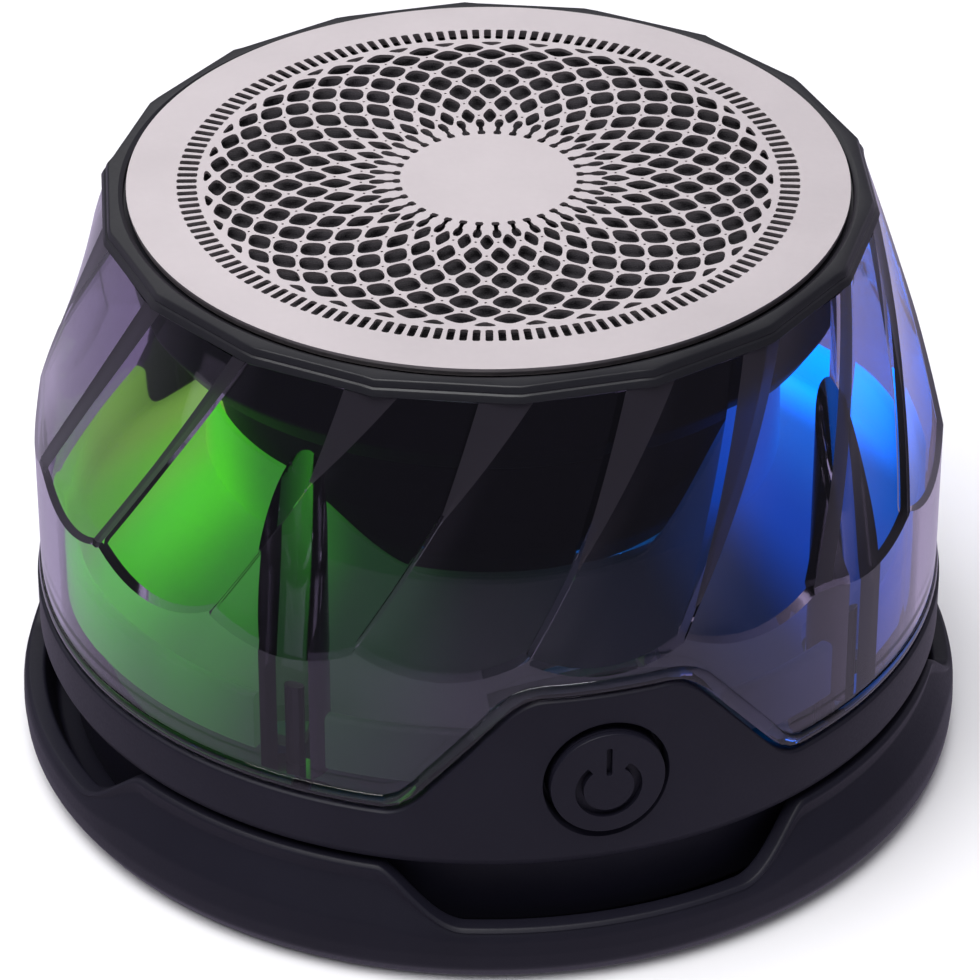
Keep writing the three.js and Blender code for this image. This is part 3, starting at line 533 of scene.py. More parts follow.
def dot_hole(k, azimuth):
    """The pinhole in a crossing."""
    x, y = plan(web_radius(k), azimuth)
    turns = [math.tau * n / 6 for n in range(6)]
    return [(x + WEB["dot_r"] * math.cos(a), y + WEB["dot_r"] * math.sin(a)) for a in turns]


def strip_hole(azimuth, profile):
    """A hole along a radius, from (share of the grille's radius, half width) pairs."""
    across = Vector(plan(1, azimuth + 90))
    right = [Vector(plan(share * GRILLE_R, azimuth)) + across * w for share, w in profile]
    left = [Vector(plan(share * GRILLE_R, azimuth)) - across * w for share, w in reversed(profile)]
    return [(p.x, p.y) for p in right + left]


def make_grille():
    edge = [plan(GRILLE_R, 360 * i / EDGE_POINTS) for i in range(EDGE_POINTS)]
    holes = []
    pitch = 360 / WEB["lines"]
    for k in range(WEB["first"], WEB["last"] + 1):
        phase = WEB["phase"] if k % 2 else WEB["phase"] + pitch / 2
        for i in range(WEB["lines"]):
            holes.append(cell_hole(k, phase + pitch * i))
            if k > WEB["first"]:
                holes.append(dot_hole(k, phase + pitch * (i + 0.5)))
    for i in range(WEB["lines"]):
        holes.append(strip_hole(WEB["phase"] + pitch * (i + 0.5), KEYHOLE))
        holes.append(strip_hole(WEB["phase"] + pitch * i, SLIVER))
    holes += [strip_hole(360 * i / SLOTS, SLOT) for i in range(SLOTS)]
    sheet_low = TOP_Z - GRILLE_SHEET
    sheet = plate("grille_plate", [edge] + holes, GRILLE_SHEET, METAL)
    moved(sheet, lambda x, y, z: (x, y, z + sheet_low))
    rim = GRILLE_R - 0.1
    seat = turned("grille_seat", rounded([
        (GRILLE_SEAT_R, TOP_Z - GRILLE_THICK, 0), (rim, TOP_Z - GRILLE_THICK, 0.1),
        (rim, sheet_low, 0), (GRILLE_SEAT_R, sheet_low, 0)]), METAL)
    place(seat, "body", slot="brushed_metal")
    place(sheet, "body", "grille", slot="brushed_metal")


# ---- Bezel ----
# Radii of the bezel's bore, its skirt inside the shell, the seat under the grille, its wall and its top edge.
BEZEL = {"bore": 30.0, "skirt": 32.3, "seat": 32.0, "wall": 33.3, "edge": 33.75}
SEAT_LOW, SEAT_HIGH = 56.6, 57.1
GROOVE_LOW, GROOVE_Z, GROOVE_HIGH = 56.85, 56.98, 57.12


def make_bezel():
    columns = []
    for azimuth, local in flat_columns(10):
        stretch = 1 / math.cos(math.radians(local))
        outline = rounded([
            (BEZEL["bore"], BEZEL_LOW, 0.1), (BEZEL["skirt"], BEZEL_LOW, 0.1),
            (BEZEL["skirt"], BEZEL_FOOT, 0.1), (flat_apothem(BEZEL_FOOT) * stretch + 0.14, BEZEL_FOOT, 0.12),
            (flat_apothem(GROOVE_LOW) * stretch, GROOVE_LOW, 0.1),
            (flat_apothem(GROOVE_Z) * stretch - 0.18, GROOVE_Z, 0.08),
            (flat_apothem(GROOVE_HIGH) * stretch - 0.08, GROOVE_HIGH, 0.1),
            (BEZEL_APOTHEM * stretch - 0.12, BEZEL_HIGH - 0.12, 0.25), (BEZEL["edge"], BEZEL_HIGH, 0.12),
            (BEZEL["wall"], BEZEL_HIGH - 0.2, 0.1), (BEZEL["wall"], SEAT_HIGH, 0.05),
            (BEZEL["seat"], SEAT_HIGH, 0.05), (BEZEL["seat"], SEAT_LOW, 0.05),
            (BEZEL["bore"], SEAT_LOW, 0.05)], 3)
        columns.append([around(a, azimuth, z) for a, z in outline])
    place(loft("bezel_rim", columns, RIM_BLACK), "body", "top_bezel", slot="gloss_black")


# ---- Shell ----
SHELL_SHARP = 8
FLAT_STEPS = 12
UPRIGHT_STEPS = 8
LEAN_STEPS = 40
CREASE_DROP = 3
BEAD = {"wide": 1.35, "proud": 0.22, "steps": 24}
# How the shell's foot clears the tab: wider by an angle, and higher by a gap.
TAB_WIDER = 0.35
FOOT_GAP = 0.25
FOOT_FACE = 1.2
FOOT_BEVEL = 0.4
SLOPE_STEP = 0.2
# The flat strip that cuts a twisted corner: its tip's height, and half its angle below the tip and on top.
STRIP = (43.0, 0.3, 3.2)
STRIP_BY_CORNER = {13: (44.0, 1.5, 2.0), 14: (44.0, 0.8, 1.2), 15: (47.5, 0.12, 3.9), 16: (46.0, 0.12, 3.8),
                   17: (41.5, 0.12, 3.8), 0: (36.0, 0.12, 3.6), 1: (40.0, 1.7, 2.1)}
# A strip narrower than this is a plain crease, with the wall's finish; a wider one takes a dark, half-clear
# finish that is painted shade.
CREASE_HALF = 0.25
STRIP_EDGE = 0.03
# The posts end this deep in the wall, and past this share of their radius inwards they are clear; outside it
# their sides take a nearly black, dull finish that is painted shade.
POST_TUCK = 0.82
POST_CLEAR = 0.75
POST_SIDES = 96
# The mean of a flat's radius over its apothem.
MEAN_STRETCH = 1.0075


def strip_half(z, corner):
    """Half the angle of a corner's strip at height z, from a thin line up to its full width."""
    tip, low, high = STRIP_BY_CORNER.get(corner % FLATS, STRIP)
    return lerp(low, high, min(max((z - tip) / (SHELL_HIGH - tip), 0.0), 1.0))


def shell_place(z, flat, share):
    """Outer radius and azimuth, at height z, of a column that crosses its flat at a share from 0 to 1.

    A share above 1 is the middle of the strip on the flat's far corner.
    """
    start, end = flat_corner(flat - 1), flat_corner(flat)
    left, right = start + strip_half(z, flat - 1), end - strip_half(z, flat)
    middle, apothem = (start + end) / 2, flat_apothem(z)
    twist = FLAT_PITCH * max(0.0, z - TWIST_LOW_Z) / (BEZEL_HIGH - TWIST_LOW_Z)
    if share > 1:
        edge_r = apothem / math.cos(math.radians(right - middle))
        return edge_r * math.cos(math.radians(strip_half(z, flat))), end + twist
    azimuth = lerp(left, right, share)
    return apothem / math.cos(math.radians(azimuth - middle)), azimuth + twist


def upright(r, azimuth, low, high):
    """Points up the shell's round lower wall."""
    steps = range(1, UPRIGHT_STEPS + 1)
    return [(r, azimuth, lerp(low, high, step / UPRIGHT_STEPS)) for step in steps]


def leaning(flat, share, crease, inwards):
    """Points up a flat from the crease to the bezel."""
    out = []
    for step in range(1, LEAN_STEPS + 1):
        z = lerp(crease, SHELL_HIGH, step / LEAN_STEPS)
        r, azimuth = shell_place(z, flat, share)
        out.append((min(r, SHELL_R) - inwards, azimuth, z))
    return out


def bead_points(azimuth, foot, tilt):
    """Points round the bead along the shell's foot, which is taller where the foot slopes."""
    out = []
    for step in range(BEAD["steps"] + 1):
        turn = math.pi * step / BEAD["steps"]
        rise = (1 - math.cos(turn)) / 2
        out.append((SHELL_R + BEAD["proud"] * math.sin(turn), azimuth, foot + BEAD["wide"] * rise * tilt))
    return out


def shell_column(flat, share):
    """One column of the shell: up the outside from the bead, and down the inside."""
    r_low, azimuth = shell_place(TWIST_LOW_Z, flat, share)
    crease = min(TWIST_LOW_Z + (r_low - SHELL_R) / SHELL_LEAN, TWIST_LOW_Z + CREASE_DROP)
    foot = tab_top(azimuth, TAB_WIDER) + FOOT_GAP
    rise = tab_top(azimuth + SLOPE_STEP, TAB_WIDER) - tab_top(azimuth - SLOPE_STEP, TAB_WIDER)
    tilt = math.hypot(1, rise / (SHELL_R * math.radians(2 * SLOPE_STEP)))
    skin = bead_points(azimuth, foot, tilt)
    skin += upright(SHELL_R, azimuth, min(skin[-1][2], crease - 0.2), crease)
    skin += leaning(flat, share, crease, 0)
    inner_r, inner_foot = SHELL_R - SHELL_WALL, foot + FOOT_BEVEL * tilt
    inside = [(SHELL_R - FOOT_FACE, azimuth, foot), (inner_r, azimuth, inner_foot)]
    inside += upright(inner_r, azimuth, inner_foot, crease)
    inside += leaning(flat, share, crease, SHELL_WALL)
    return [around(*p) for p in skin + inside[::-1]]


def make_shell():
    # The last column of each flat, at a share above 1, is the middle of its corner's strip.
    columns = [shell_column(flat, j / FLAT_STEPS) for flat in range(FLATS) for j in range(FLAT_STEPS + 2)]
    shell = loft("clear_shell", columns, CLEAR, SHELL_SHARP)
    carve(shell, [make_post(azimuth) for azimuth in BOSS_AZIMUTHS], SHELL_SHARP, "UNION")
    # Painted shade: the posts' two darker finishes and the strips' dark one, after the wall's.
    for material in (POST_MIDDLE_SHADE, POST_SIDE_SHADE, RIDGE_SHADE):
        shell.data.materials.append(material)
    for face in shell.data.polygons:
        face.material_index = finish_index(*(c / MM for c in face.center))
    place(shell, "body", "light_shell", slot="smoked_clear")


def finish_index(x, y, z):
    """Which of the shell's finishes a point takes: 0 wall, 1 a post's middle, 2 a post's side, 3 a strip. A
    post's middle and side take darker finishes than the wall, as painted shade.
    """
    r = math.hypot(x, y)
    if r < min(SHELL_R, flat_apothem(z)) - SHELL_WALL - 0.02:
        for azimuth in BOSS_AZIMUTHS:
            away = Vector((x, y)) - Vector(plan(BOSS_RING, azimuth))
            if away.length < BOSS_R + 0.05:
                inward = -away.dot(Vector(plan(1, azimuth))) / max(away.length, 0.01)
                return 1 if inward > POST_CLEAR else 2
    # Painted shade: a point on a wide corner strip takes the strips' dark finish.
    if z > TWIST_LOW_Z and r > flat_apothem(z) - SHELL_WALL / 2:
        twist = FLAT_PITCH * (z - TWIST_LOW_Z) / (BEZEL_HIGH - TWIST_LOW_Z)
        azimuth = math.degrees(math.atan2(x, -y)) - twist
        for k in range(FLATS):
            half = strip_half(z, k)
            away = abs((azimuth - flat_corner(k) + 180) % 360 - 180)
            if half > CREASE_HALF and away < half - STRIP_EDGE:
                return 3
    return 0


def make_post(azimuth):
    """A post whose outer side and slanting top end inside the thickness of the shell's wall."""
    centre = Vector(around(BOSS_RING, azimuth, 0))
    reach = SHELL_R - POST_TUCK
    top = []
    for i in range(POST_SIDES):
        turn = math.tau * i / POST_SIDES
        rim = centre + BOSS_R * Vector((math.cos(turn), math.sin(turn), 0))
        if rim.length > reach:
            rim *= reach / rim.length
        lean_r = (rim.length + POST_TUCK) / MEAN_STRETCH
        top.append((rim.x, rim.y, BEZEL_HIGH - (lean_r - BEZEL_APOTHEM) / SHELL_LEAN))
    return prism("post", [(x, y, BOSS_LOW) for x, y, _ in top], top, CLEAR)


# ---- Inside the shell ----
LEAD_HOLE = {"x": 9, "r": 2.7, "low": 20, "high": 30}
# The frosted cone's collar round the bowl: low in front, and higher on the green and on the blue side.
COLLAR = {"inner": 25.5, "outer": 26.1, "low": 31.9, "green": 38.8, "blue": 42.0}
GREEN_RISE, BLUE_RISE, BLUE_FALL = (25, 60), (15, 45), (130, 175)
# The cone's thin flange under the bowl, and the upright wall at its foot.
FLANGE = {"r": 23.4, "low": 30.2, "high": 30.9}
CONE_FOOT = {"inner": 39.0, "outer": 40.2, "low": 19.5, "high": 25.2}
CONE_COLUMNS = 180
# The openings in the cone for a screw post and for the button's switch.
BAY = {"clear": 0.4, "reach": 8, "low": 15, "high": 30, "steps": 16}
POCKET_LOW, POCKET_HIGH = (-8.5, -45, 15), (8.5, -32.9, 35)


def make_pod():
    outline = rounded([
        (0, 23.6, 0), (12, 24.4, 8), (20, 28, 6), (24.0, 33.0, 5), (24.8, 37, 3), (25.2, 43.2, 0.8),
        (30.4, 46.5, 1.2), (32.1, 49, 1.5), (32.2, 54.5, 0.2), (31.0, 54.5, 0.2), (30.9, 51.1, 0.1),
        (28.0, 51.1, 0.2), (28.0, 49.6, 0.2), (29.6, 47.4, 0.5), (23.8, 43.9, 0.8), (23.4, 37, 3),
        (22.6, 33.4, 4), (19.2, 29.2, 5), (11.6, 25.8, 6), (0, 25.0, 0)], 5)
    pod = turned("driver_bowl", outline, POD_BLACK, 128)
    r, low, high = LEAD_HOLE["r"], LEAD_HOLE["low"], LEAD_HOLE["high"]
    drill = turned("pod_drill", [(0, low), (r, low), (r, high), (0, high)], POD_BLACK, 24)
    moved(drill, lambda x, y, z: (x + LEAD_HOLE["x"], y, z))
    place(carve(pod, [drill]), "body", "driver_pod", slot="pod_black")


def collar_high(azimuth):
    side = (azimuth + 180) % 360 - 180
    if side < 0:
        return lerp(COLLAR["low"], COLLAR["green"], smoothstep(-side, *GREEN_RISE))
    blue = smoothstep(side, *BLUE_RISE) * (1 - smoothstep(side, *BLUE_FALL))
    return lerp(COLLAR["low"] if side < 90 else COLLAR["green"], COLLAR["blue"], blue)


def frosted_outline(azimuth):
    top, inner, outer = collar_high(azimuth), COLLAR["inner"], COLLAR["outer"]
    foot_in, foot_out, foot_low = CONE_FOOT["inner"], CONE_FOOT["outer"], CONE_FOOT["low"]
    return rounded([
        (FLANGE["r"], FLANGE["low"], 0.1), (inner + 0.4, FLANGE["low"], 0.4), (38.6, foot_low, 1.0),
        (foot_out, foot_low, 0.3), (foot_out, CONE_FOOT["high"], 0.5), (foot_in, CONE_FOOT["high"], 0.5),
        (foot_in, foot_low + 1.4, 1.2), (outer + 0.2, 31.5, 0.4), (outer, top, 0.25), (inner, top, 0.25),
        (inner, FLANGE["high"], 0.2), (FLANGE["r"], FLANGE["high"], 0.1)], 4)


def cutter(name, outline, low, high):
    return prism(name, [(x, y, low) for x, y in outline], [(x, y, high) for x, y in outline], FROSTED)


def boss_bay(azimuth):
    """A tool that opens the cone round a screw post and outwards from it."""
    middle, half = Vector(plan(BOSS_RING, azimuth)), BOSS_R + BAY["clear"]
    spoke, side = Vector(plan(1, azimuth)), Vector(plan(1, azimuth + 90))
    turns = [math.pi * n / BAY["steps"] for n in range(BAY["steps"] + 1)]
    bay = [middle + half * (side * math.cos(t) - spoke * math.sin(t)) for t in turns]
    bay += [middle + spoke * BAY["reach"] - side * half, middle + spoke * BAY["reach"] + side * half]
    return cutter("boss_bay", bay, BAY["low"], BAY["high"])


def make_diffuser():
    cone = swept("frosted_cone", frosted_outline, FROSTED, CONE_COLUMNS)
    (x0, y0, z0), (x1, y1, z1) = POCKET_LOW, POCKET_HIGH
    pocket = cutter("switch_pocket", [(x0, y0), (x1, y0), (x1, y1), (x0, y1)], z0, z1)
    tools = [boss_bay(azimuth) for azimuth in BOSS_AZIMUTHS] + [pocket]
    place(carve(cone, tools), "body", "light_diffuser", slot="frosted_plastic")


# ---- Base ----
RING_COLUMNS = 720
# The ring's four lips: half the angle of the top and of the foot, and how the slope between them curves.
LIP_TOP_HALF = 17.3
LIP_FOOT_HALF = 28.0
LIP_CURVE = 0.75
LIP_R = 43.0
NOTCH = {"r": 44.5, "z": 6.2}
RING_WALL = 1.7
RING_FLOOR = {"bore": 18.0, "low": 1.5, "high": 3.1}
TREAD = {"first": 8, "end": 38, "pitch": 4, "deep": 0.35, "slope": 0.3, "wide": 1.4}
BUTTON_R = 5.25
WELL_R = 5.7
BAND_WALL = 1.95
CUP_WALL = 1.6
CUP_FLOOR = 1.5
PORT_CLEAR = 0.15
MOUTH = {"outer_y": 45.5, "deep": 8}
SLEEVE_WALL = 0.35
TONGUE = {"half_wide": 3.3, "half_thick": 0.35, "set_back": 1.0, "shorter": 1.3}


def ring_lift(azimuth):
    """1 along a lip's top, 0 in the notch between two lips."""
    from_lip = abs(azimuth % 90 - 45)
    return 1 - smoothstep(from_lip, LIP_TOP_HALF, LIP_FOOT_HALF) ** LIP_CURVE


def ring_outline(azimuth):
    bore, floor_low, floor_high = RING_FLOOR["bore"], RING_FLOOR["low"], RING_FLOOR["high"]
    lift = ring_lift(azimuth)
    top, r = lerp(NOTCH["z"], LIP_HIGH, lift), lerp(NOTCH["r"], LIP_R, lift)
    return rounded([
        (bore, floor_low, 0.2), (PAD_R + GAP, floor_low, 0.1), (PAD_R + GAP, RING_LOW, 0.2),
        (43.6, RING_LOW, 0.9), (44.75, 1.9, 1.5), (RING_R, 3.5, 3.0),
        (lerp(44.85, 44.6, lift), lerp(5.0, 5.9, lift), 2.0),
        (lerp(44.7, 43.35, lift), lerp(5.5, 8.6, lift), 2.0),
        (r - 0.12 * lift, top - 1.3 * lift - 0.35, 0.6), (r + 0.14, top - 0.35, 0.35), (r - 0.2, top, 0.35),
        (r - RING_WALL, top, 0.4), (42.2, 4.6, 1.0), (41.7, floor_high, 0.6), (bore, floor_high, 0.2)], 4)


def make_base_ring():
    ring = swept("saucer_ring", ring_outline, SOFT_BLACK, RING_COLUMNS)
    place(ring, "body", "base_ring", slot="soft_black")


def make_foot_pad():
    slope, wide, deep = TREAD["slope"], TREAD["wide"], TREAD["deep"]
    corners = [(0, 0.0, 0)]
    for r in range(TREAD["first"], TREAD["end"], TREAD["pitch"]):
        corners += [(r, 0, 0.1), (r + slope, deep, 0.1), (r + wide - slope, deep, 0.1), (r + wide, 0, 0.1)]
    corners += [(PAD_R - 0.4, 0, 0.4), (PAD_R, 0.4, 0.3), (PAD_R, PAD_HIGH, 0.1), (0, PAD_HIGH, 0)]
    place(turned("rubber_foot", rounded(corners, 2), RUBBER, 128), "body", "foot_pad", slot="rubber")


def rod_along_y(name, outline, material):
    """A turned piece whose axis lies along Y at the button's height, from (radius, y) corners."""
    return moved(turned(name, outline, material), lambda x, y, z: (x, z, BUTTON_Z - y))


def band_outline(azimuth):
    top = tab_top(azimuth)
    r = lerp(BAND_R, TAB["r"], (top - BAND_HIGH) / (TAB_HIGH - BAND_HIGH))
    cup_in, cup_floor = CUP_R - CUP_WALL, CUP_LOW + CUP_FLOOR
    return rounded([
        (0, CUP_LOW, 0), (CUP_R - 0.2, CUP_LOW, 0.6), (CUP_R, BAND_LOW, 0.4), (BAND_R - 0.35, BAND_LOW, 0.45),
        (BAND_R, BAND_LOW + 0.9, 0.8), (BAND_R, BAND_HIGH - 1.0, 0.5), (r, top - 0.15, 0.3),
        (r - 0.3, top, 0.2), (r - BAND_WALL, top, 0.2), (BAND_R - BAND_WALL, BAND_LOW + 0.9, 0.3),
        (cup_in, BAND_LOW + 0.4, 0.4), (cup_in, cup_floor, 0.5), (0, cup_floor, 0)], 4)


def make_housing():
    band = swept("housing_band", band_outline, SOFT_BLACK, RING_COLUMNS)
    well = rod_along_y("well", [(0, -46), (6.6, -46), (6.15, -42.9), (5.85, -42.55), (WELL_R, -42.2),
                                (WELL_R, -38.6), (0, -38.6)], SOFT_BLACK)
    low, high = cad("charging_port")
    mouth = stadium("mouth", (high[0] - low[0]) / 2 + PORT_CLEAR, (high[2] - low[2]) / 2 + PORT_CLEAR,
                    MOUTH["deep"], SOFT_BLACK)
    moved(mouth, lambda x, y, z: (x, MOUTH["outer_y"] - z, y + (low[2] + high[2]) / 2))
    place(carve(band, [well, mouth]), "body", "base_housing", slot="soft_black")


def stadium_outline(half_wide, half_tall, steps=12):
    out = []
    for side, start in ((1, -90), (-1, 90)):
        for i in range(steps + 1):
            a = math.radians(start + 180 * i / steps)
            out.append((side * (half_wide - half_tall) + half_tall * math.cos(a), half_tall * math.sin(a)))
    return out


def stadium(name, half_wide, half_tall, deep, material, wall=0.0):
    """A bar with round sides, or a sleeve of that shape where a wall is given."""
    outlines = [stadium_outline(half_wide, half_tall)]
    if wall:
        outlines.append(stadium_outline(half_wide - wall, half_tall - wall))
    return plate(name, outlines, deep, material)


def make_port():
    low, high = cad("charging_port")
    half_wide, half_tall, deep = (high[0] - low[0]) / 2, (high[2] - low[2]) / 2, high[1] - low[1]
    middle = (low[2] + high[2]) / 2
    sleeve = stadium("port_sleeve", half_wide, half_tall, deep, NICKEL, wall=SLEEVE_WALL)
    moved(sleeve, lambda x, y, z: (x, high[1] - z, y + middle))
    tongue = stadium("port_tongue", TONGUE["half_wide"], TONGUE["half_thick"], deep - TONGUE["shorter"], CHIP)
    moved(tongue, lambda x, y, z: (x, high[1] - TONGUE["set_back"] - z, y + middle))
    place(sleeve, "body", "charging_port", slot="port_steel")
    place(tongue, "body", slot="chip_black")


# ---- Power button ----
ICON = {"z": -0.55, "r": 2.7, "half_line": 0.38, "half_bar": 0.27, "open_half": 37, "bar_low": 1.4,
        "bar_high": 4.3, "round": 0.2, "deep": 0.6}
BUTTON_EDGE = 0.3
BUTTON_POINTS = 120
BEND_STEP = 0.35
BUTTON_FLOOR = 0.9
FLANGE_R = 6.3
FLANGE_Y, FLANGE_BACK_Y = -40.0, -39.2
STEM_R, STEM_BACK_Y = 1.3, -38.3


def icon_outlines():
    """The usual on-off sign: a broken ring and an upright bar, in x and height."""
    sweep = range(ICON["open_half"], 361 - ICON["open_half"], 4)
    ring = [(ICON["r"] + ICON["half_line"], a) for a in sweep]
    ring += [(ICON["r"] - ICON["half_line"], a) for a in reversed(sweep)]
    ring = [(r * math.sin(math.radians(a)), r * math.cos(math.radians(a))) for r, a in ring]
    wide, low, high, turn = ICON["half_bar"], ICON["bar_low"], ICON["bar_high"], ICON["round"]
    bar = rounded([(-wide, low, turn), (wide, low, turn), (wide, high, turn), (-wide, high, turn)], 3)
    return [[(x, y + ICON["z"]) for x, y in outline] for outline in (ring, bar)]


def sliced(obj, half_wide, step):
    """Cuts a plate's big faces into strips across X, so that it can be bent."""
    bm = bmesh.new()
    bm.from_mesh(obj.data)
    for i in range(round(2 * half_wide / step) + 1):
        at = Vector(((i * step - half_wide) * MM, 0, 0))
        everything = bm.verts[:] + bm.edges[:] + bm.faces[:]
        bmesh.ops.bisect_plane(bm, geom=everything, plane_co=at, plane_no=(1, 0, 0))
    bm.to_mesh(obj.data)
    bm.free()
    return obj


def make_button():
    front, deep = cad("power_button")[0][1], ICON["deep"]
    rim = BUTTON_R - BUTTON_EDGE

    def tab_y(x):
        """The tab's curve, as y at a distance x from its middle."""
        return -math.sqrt(front ** 2 - x * x)

    turns = [math.tau * i / BUTTON_POINTS for i in range(BUTTON_POINTS)]
    edge = [(rim * math.sin(turn), rim * math.cos(turn)) for turn in turns]
    face = sliced(plate("button_face", [edge] + icon_outlines(), deep, BUTTON_BLACK), BUTTON_R, BEND_STEP)
    collar = turned("button_collar", rounded([
        (rim, 0, 0), (BUTTON_R, 0, 0.1), (BUTTON_R, deep, 0.4), (rim, deep, 0)], 5), BUTTON_BLACK)
    for piece in (face, collar):
        moved(piece, lambda x, y, z: (x, tab_y(x) + deep - z, y + BUTTON_Z))
    back = rod_along_y("button_body", rounded([
        (0, front + 0.8, 0), (BUTTON_R, front + 0.8, 0.1), (BUTTON_R, FLANGE_Y, 0), (FLANGE_R, FLANGE_Y, 0.2),
        (FLANGE_R, FLANGE_BACK_Y, 0.2), (STEM_R, FLANGE_BACK_Y, 0.2), (STEM_R, STEM_BACK_Y, 0.15),
        (0, STEM_BACK_Y, 0)], 3), BUTTON_BLACK)
    floor = rod_along_y("button_floor", [(0, 0), (BUTTON_R, 0), (BUTTON_R, BUTTON_FLOOR), (0, BUTTON_FLOOR)],
                        BUTTON_BLACK)
    moved(floor, lambda x, y, z: (x, y + tab_y(x) + deep + 0.01, z))
    place(face, "button", "power_button", slot="button_black")
    for piece in (collar, floor, back):
        place(piece, "button", slot="button_black")


# ---- Driver ----
ARC_STEPS = 16
CAP = {"low": 47.1, "outer_r": 8.6, "outer_rise": 2.5, "inner_r": 8.2, "inner_rise": 2.1}
ROLL = {"r": 23.4, "z": 52.9, "outer": 2.0, "inner": 1.6, "rim": 0.4, "inner_edge": 19.6, "outer_edge": 27.4}
# (radius, height) along the underside of the spider, and its ripples, with the points along all of them.
SPIDER_ARCH = ((6.95, 44.8), (8.0, 45.05), (8.8, 45.15), (10.0, 44.95), (12.0, 44.4), (13.4, 44.0),
               (14.8, 43.8))
RIPPLES = {"count": 6, "high": 0.12, "points": 48}
SPIDER_THICK = 0.25
SECTOR_STEPS = 6


def resampled(corners, count):
    """Points at even steps in the first coordinate along a line through the corners."""
    out = []
    for i in range(count + 1):
        x = lerp(corners[0][0], corners[-1][0], i / count)
        k = max(n for n in range(len(corners) - 1) if corners[n][0] <= x)
        (x0, y0), (x1, y1) = corners[k], corners[k + 1]
        out.append((x, lerp(y0, y1, (x - x0) / (x1 - x0))))
    return out


def flexing(name, outline, material, node, sectors, held, free):
    """A soft ring in equal sectors, each its own piece, which hides the CAD node. The held and free radii
    give two points that nothing uses.
    """
    for n in range(sectors):
        middle, half = 360 * n / sectors, 180 / sectors
        columns = []
        for i in range(SECTOR_STEPS + 1):
            azimuth = middle + half * (2 * i / SECTOR_STEPS - 1)
            columns.append([around(r, azimuth, z) for r, z in outline])
        obj = loft(f"{name}_{n + 1}", columns, material, ring=False)
        start, end = (Vector(around(r, middle, outline[0][1])) * MM for r in (held, free))
        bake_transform(obj)
        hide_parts(node)


def make_cone():
    cone = turned("paper_cone", rounded([
        (6.95, 45.3, 0.1), (20.0, 52.1, 0.4), (21.3, 52.1, 0.1), (21.3, 52.6, 0.1), (19.7, 52.6, 0.3),
        (14.2, 49.85, 0.3), (13.8, 49.45, 0.3), (6.95, 45.95, 0.1)], 4), PAPER)
    place(cone, "cone", "cone", slot="cone_paper")
    shares = [i / ARC_STEPS for i in range(ARC_STEPS + 1)]
    over = [(CAP["outer_r"] * (1 - s), CAP["low"] + CAP["outer_rise"] * (1 - (1 - s) ** 2)) for s in shares]
    under = [(CAP["inner_r"] * s, CAP["low"] + CAP["inner_rise"] * (1 - s ** 2)) for s in shares]
    place(turned("dome_cap", over + under, PAPER), "cone", "dust_cap", slot="cone_paper")


def make_suspension():
    """The roll and the spider, between the frame and the cone."""
    turns = [math.pi * (1 - i / ARC_STEPS) for i in range(ARC_STEPS + 1)]
    r, z, rim, rim_z = ROLL["r"], ROLL["z"], ROLL["rim"], ROLL["z"] + ROLL["rim"]
    outer, inner = ROLL["outer"], ROLL["inner"]
    over = [(r + outer * math.cos(a), z + max(outer * math.sin(a), rim)) for a in turns]
    under = [(r + inner * math.cos(a), z + inner * math.sin(a)) for a in reversed(turns)]
    roll = [(ROLL["inner_edge"], z), (ROLL["inner_edge"], rim_z)] + over
    roll += [(ROLL["outer_edge"], rim_z), (ROLL["outer_edge"], z)] + under
    flexing("half_roll", roll, SURROUND, "surround", sectors=16, held=24.9, free=21.6)
    ripple = []
    for i, (radius, height) in enumerate(resampled(SPIDER_ARCH, RIPPLES["points"])):
        turn = math.tau * i * RIPPLES["count"] / RIPPLES["points"]
        ripple.append((radius, height + RIPPLES["high"] * math.sin(turn)))
    cloth = ripple + [(radius, height + SPIDER_THICK) for radius, height in reversed(ripple)]
    flexing("spider_cloth", cloth, SPIDER, "spider", sectors=12, held=13.9, free=7.3)


# ---- CAD nodes that keep their shape ----
CAD_FINISHES = {
    "grille_cloth": CLOTH, "driver_gasket": FOAM, "driver_frame": STEEL, "voice_coil": COPPER,
    "top_plate": STEEL, "magnet": FERRITE, "yoke": STEEL, "terminal_strip": TERMINAL,
    "led_board": WHITE_BOARD, "main_board": GREEN_BOARD, "battery": FOIL, "bluetooth_module": NICKEL,
    "amplifier_chip": CHIP, "charger_chip": CHIP, "speaker_socket": SOCKET, "switch_plunger": SOCKET,
    "power_switch": STEEL, "switch_board": GREEN_BOARD, "speaker_lead_1": RED_WIRE,
    "speaker_lead_2": BLACK_WIRE,
}
CAD_FAMILIES = {"led_": LENS, "board_spacer_": SOCKET, "case_screw_": BLACKENED, "ring_screw_": STEEL,
                "board_screw_": STEEL}


def cad_finish(name):
    """A node's own finish, or its family's, or None for a node that a piece replaces."""
    if name in CAD_FINISHES:
        return CAD_FINISHES[name]
    return next((material for start, material in CAD_FAMILIES.items() if name.startswith(start)), None)


def finish_cad_nodes():
    for name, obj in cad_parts.items():
        material = cad_finish(name)
        if material:
            obj.data.materials.clear()
            obj.data.materials.append(material)


# ---- Stage, light and camera ----
# Colour of the surroundings by height, from -1 straight down to 1 straight up: a pale table and a dim room.
WORLD_BY_HEIGHT = ((-0.45, (0.52, 0.46, 0.63)), (-0.12, (0.10, 0.095, 0.125)))
FLOOR_HALF = 3000
# The lights' places, aims and sizes are in metres.
WHITE = (1, 1, 1)
LILAC = (0.9, 0.82, 1.0)
OVERHEAD = {"from": (-0.25, -0.2, 1.0), "power": 3.6, "angle": 50}
CAMERA_AT_M = (-0.1004, -0.3968, 0.2931)
CAMERA_AIM_M = (0.00016, 0.00004, 0.02405)
CAMERA_LENS = 189.8
CAMERA_SENSOR = 36


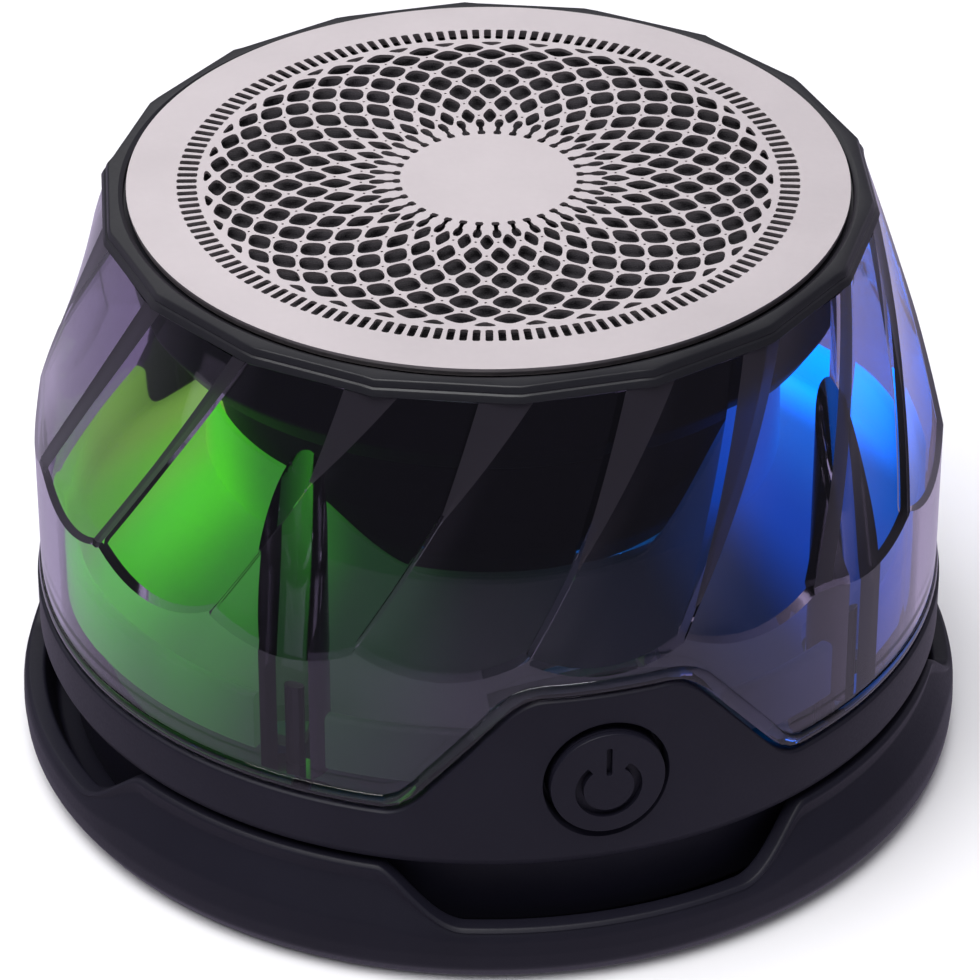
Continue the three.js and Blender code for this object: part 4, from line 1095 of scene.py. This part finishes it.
def make_stage():
    material = shaded("stage_paper", (0.86, 0.855, 0.87), 0.8, bump=0.0, vary=0.005)
    side = FLOOR_HALF
    points = [(-side, -side, 0), (side, -side, 0), (side, side, 0), (-side, side, 0)]
    floor = build("floor", points, [(0, 1, 2, 3)], material)
    floor.visible_glossy = False
    floor.visible_transmission = False
    world = bpy.data.worlds.new("studio")
    world.use_nodes = True
    tree = world.node_tree
    where = add(tree, "ShaderNodeTexCoord")
    split = add(tree, "ShaderNodeSeparateXYZ")
    ramp = add(tree, "ShaderNodeValToRGB")
    for stop, (height, shade) in zip(ramp.color_ramp.elements, WORLD_BY_HEIGHT):
        stop.position = (height + 1) / 2
        stop.color = (*shade, 1)
    height = set_range(add(tree, "ShaderNodeMapRange"), from_min=-1)
    tree.links.new(where.outputs["Generated"], split.inputs["Vector"])
    tree.links.new(split.outputs["Z"], height.inputs["Value"])
    tree.links.new(height.outputs["Result"], ramp.inputs["Fac"])
    tree.links.new(ramp.outputs["Color"], tree.nodes["Background"].inputs["Color"])
    bpy.context.scene.world = world
    bpy.context.scene.view_settings.view_transform = "Standard"


def aimed(obj, start, aim):
    """Turns a light or the camera from start towards aim, and adds it to the scene."""
    obj.rotation_euler = (Vector(aim) - Vector(start)).to_track_quat("-Z", "Y").to_euler()
    bpy.context.scene.collection.objects.link(obj)
    return obj


def area_light(name, place_m, aim_m, size_m, power, colour=WHITE, glossy=True):
    data = bpy.data.lights.new(name, "AREA")
    data.shape = "RECTANGLE"
    data.size, data.size_y = size_m
    data.energy = power
    data.color = colour
    obj = aimed(bpy.data.objects.new(name, data), place_m, aim_m)
    obj.location = place_m
    obj.visible_glossy = glossy
    obj.visible_transmission = glossy


def make_lights():
    sun = bpy.data.lights.new("overhead", "SUN")
    sun.energy = OVERHEAD["power"]
    sun.angle = math.radians(OVERHEAD["angle"])
    aimed(bpy.data.objects.new("overhead", sun), OVERHEAD["from"], (0, 0, 0))
    area_light("back", (-0.05, 1.3, 0.95), (0, 0, 0.05), (1.5, 0.9), 4.2)
    for azimuth in (-50, -12, 26, 64):
        area_light("low_box", around(1.0, azimuth, 0.30), (0, 0, 0.30), (0.6, 0.40), 0.6, glossy=False)
    for azimuth in (-125, 125):
        area_light("side_box", around(1.2, azimuth, 0.35), (0, 0, 0.10), (0.9, 0.9), 1.4, LILAC)


def make_camera():
    data = bpy.data.cameras.new("camera")
    data.sensor_width = CAMERA_SENSOR
    data.lens = CAMERA_LENS
    data.clip_start, data.clip_end = 0.05, 20
    obj = aimed(bpy.data.objects.new("camera", data), CAMERA_AT_M, CAMERA_AIM_M)
    obj.location = CAMERA_AT_M
    bpy.context.scene.camera = obj


make_camera()
make_stage()
make_lights()
make_grille()
make_bezel()
make_shell()
make_pod()
make_diffuser()
make_base_ring()
make_foot_pad()
make_housing()
make_port()
make_button()
make_cone()
make_suspension()
finish_cad_nodes()
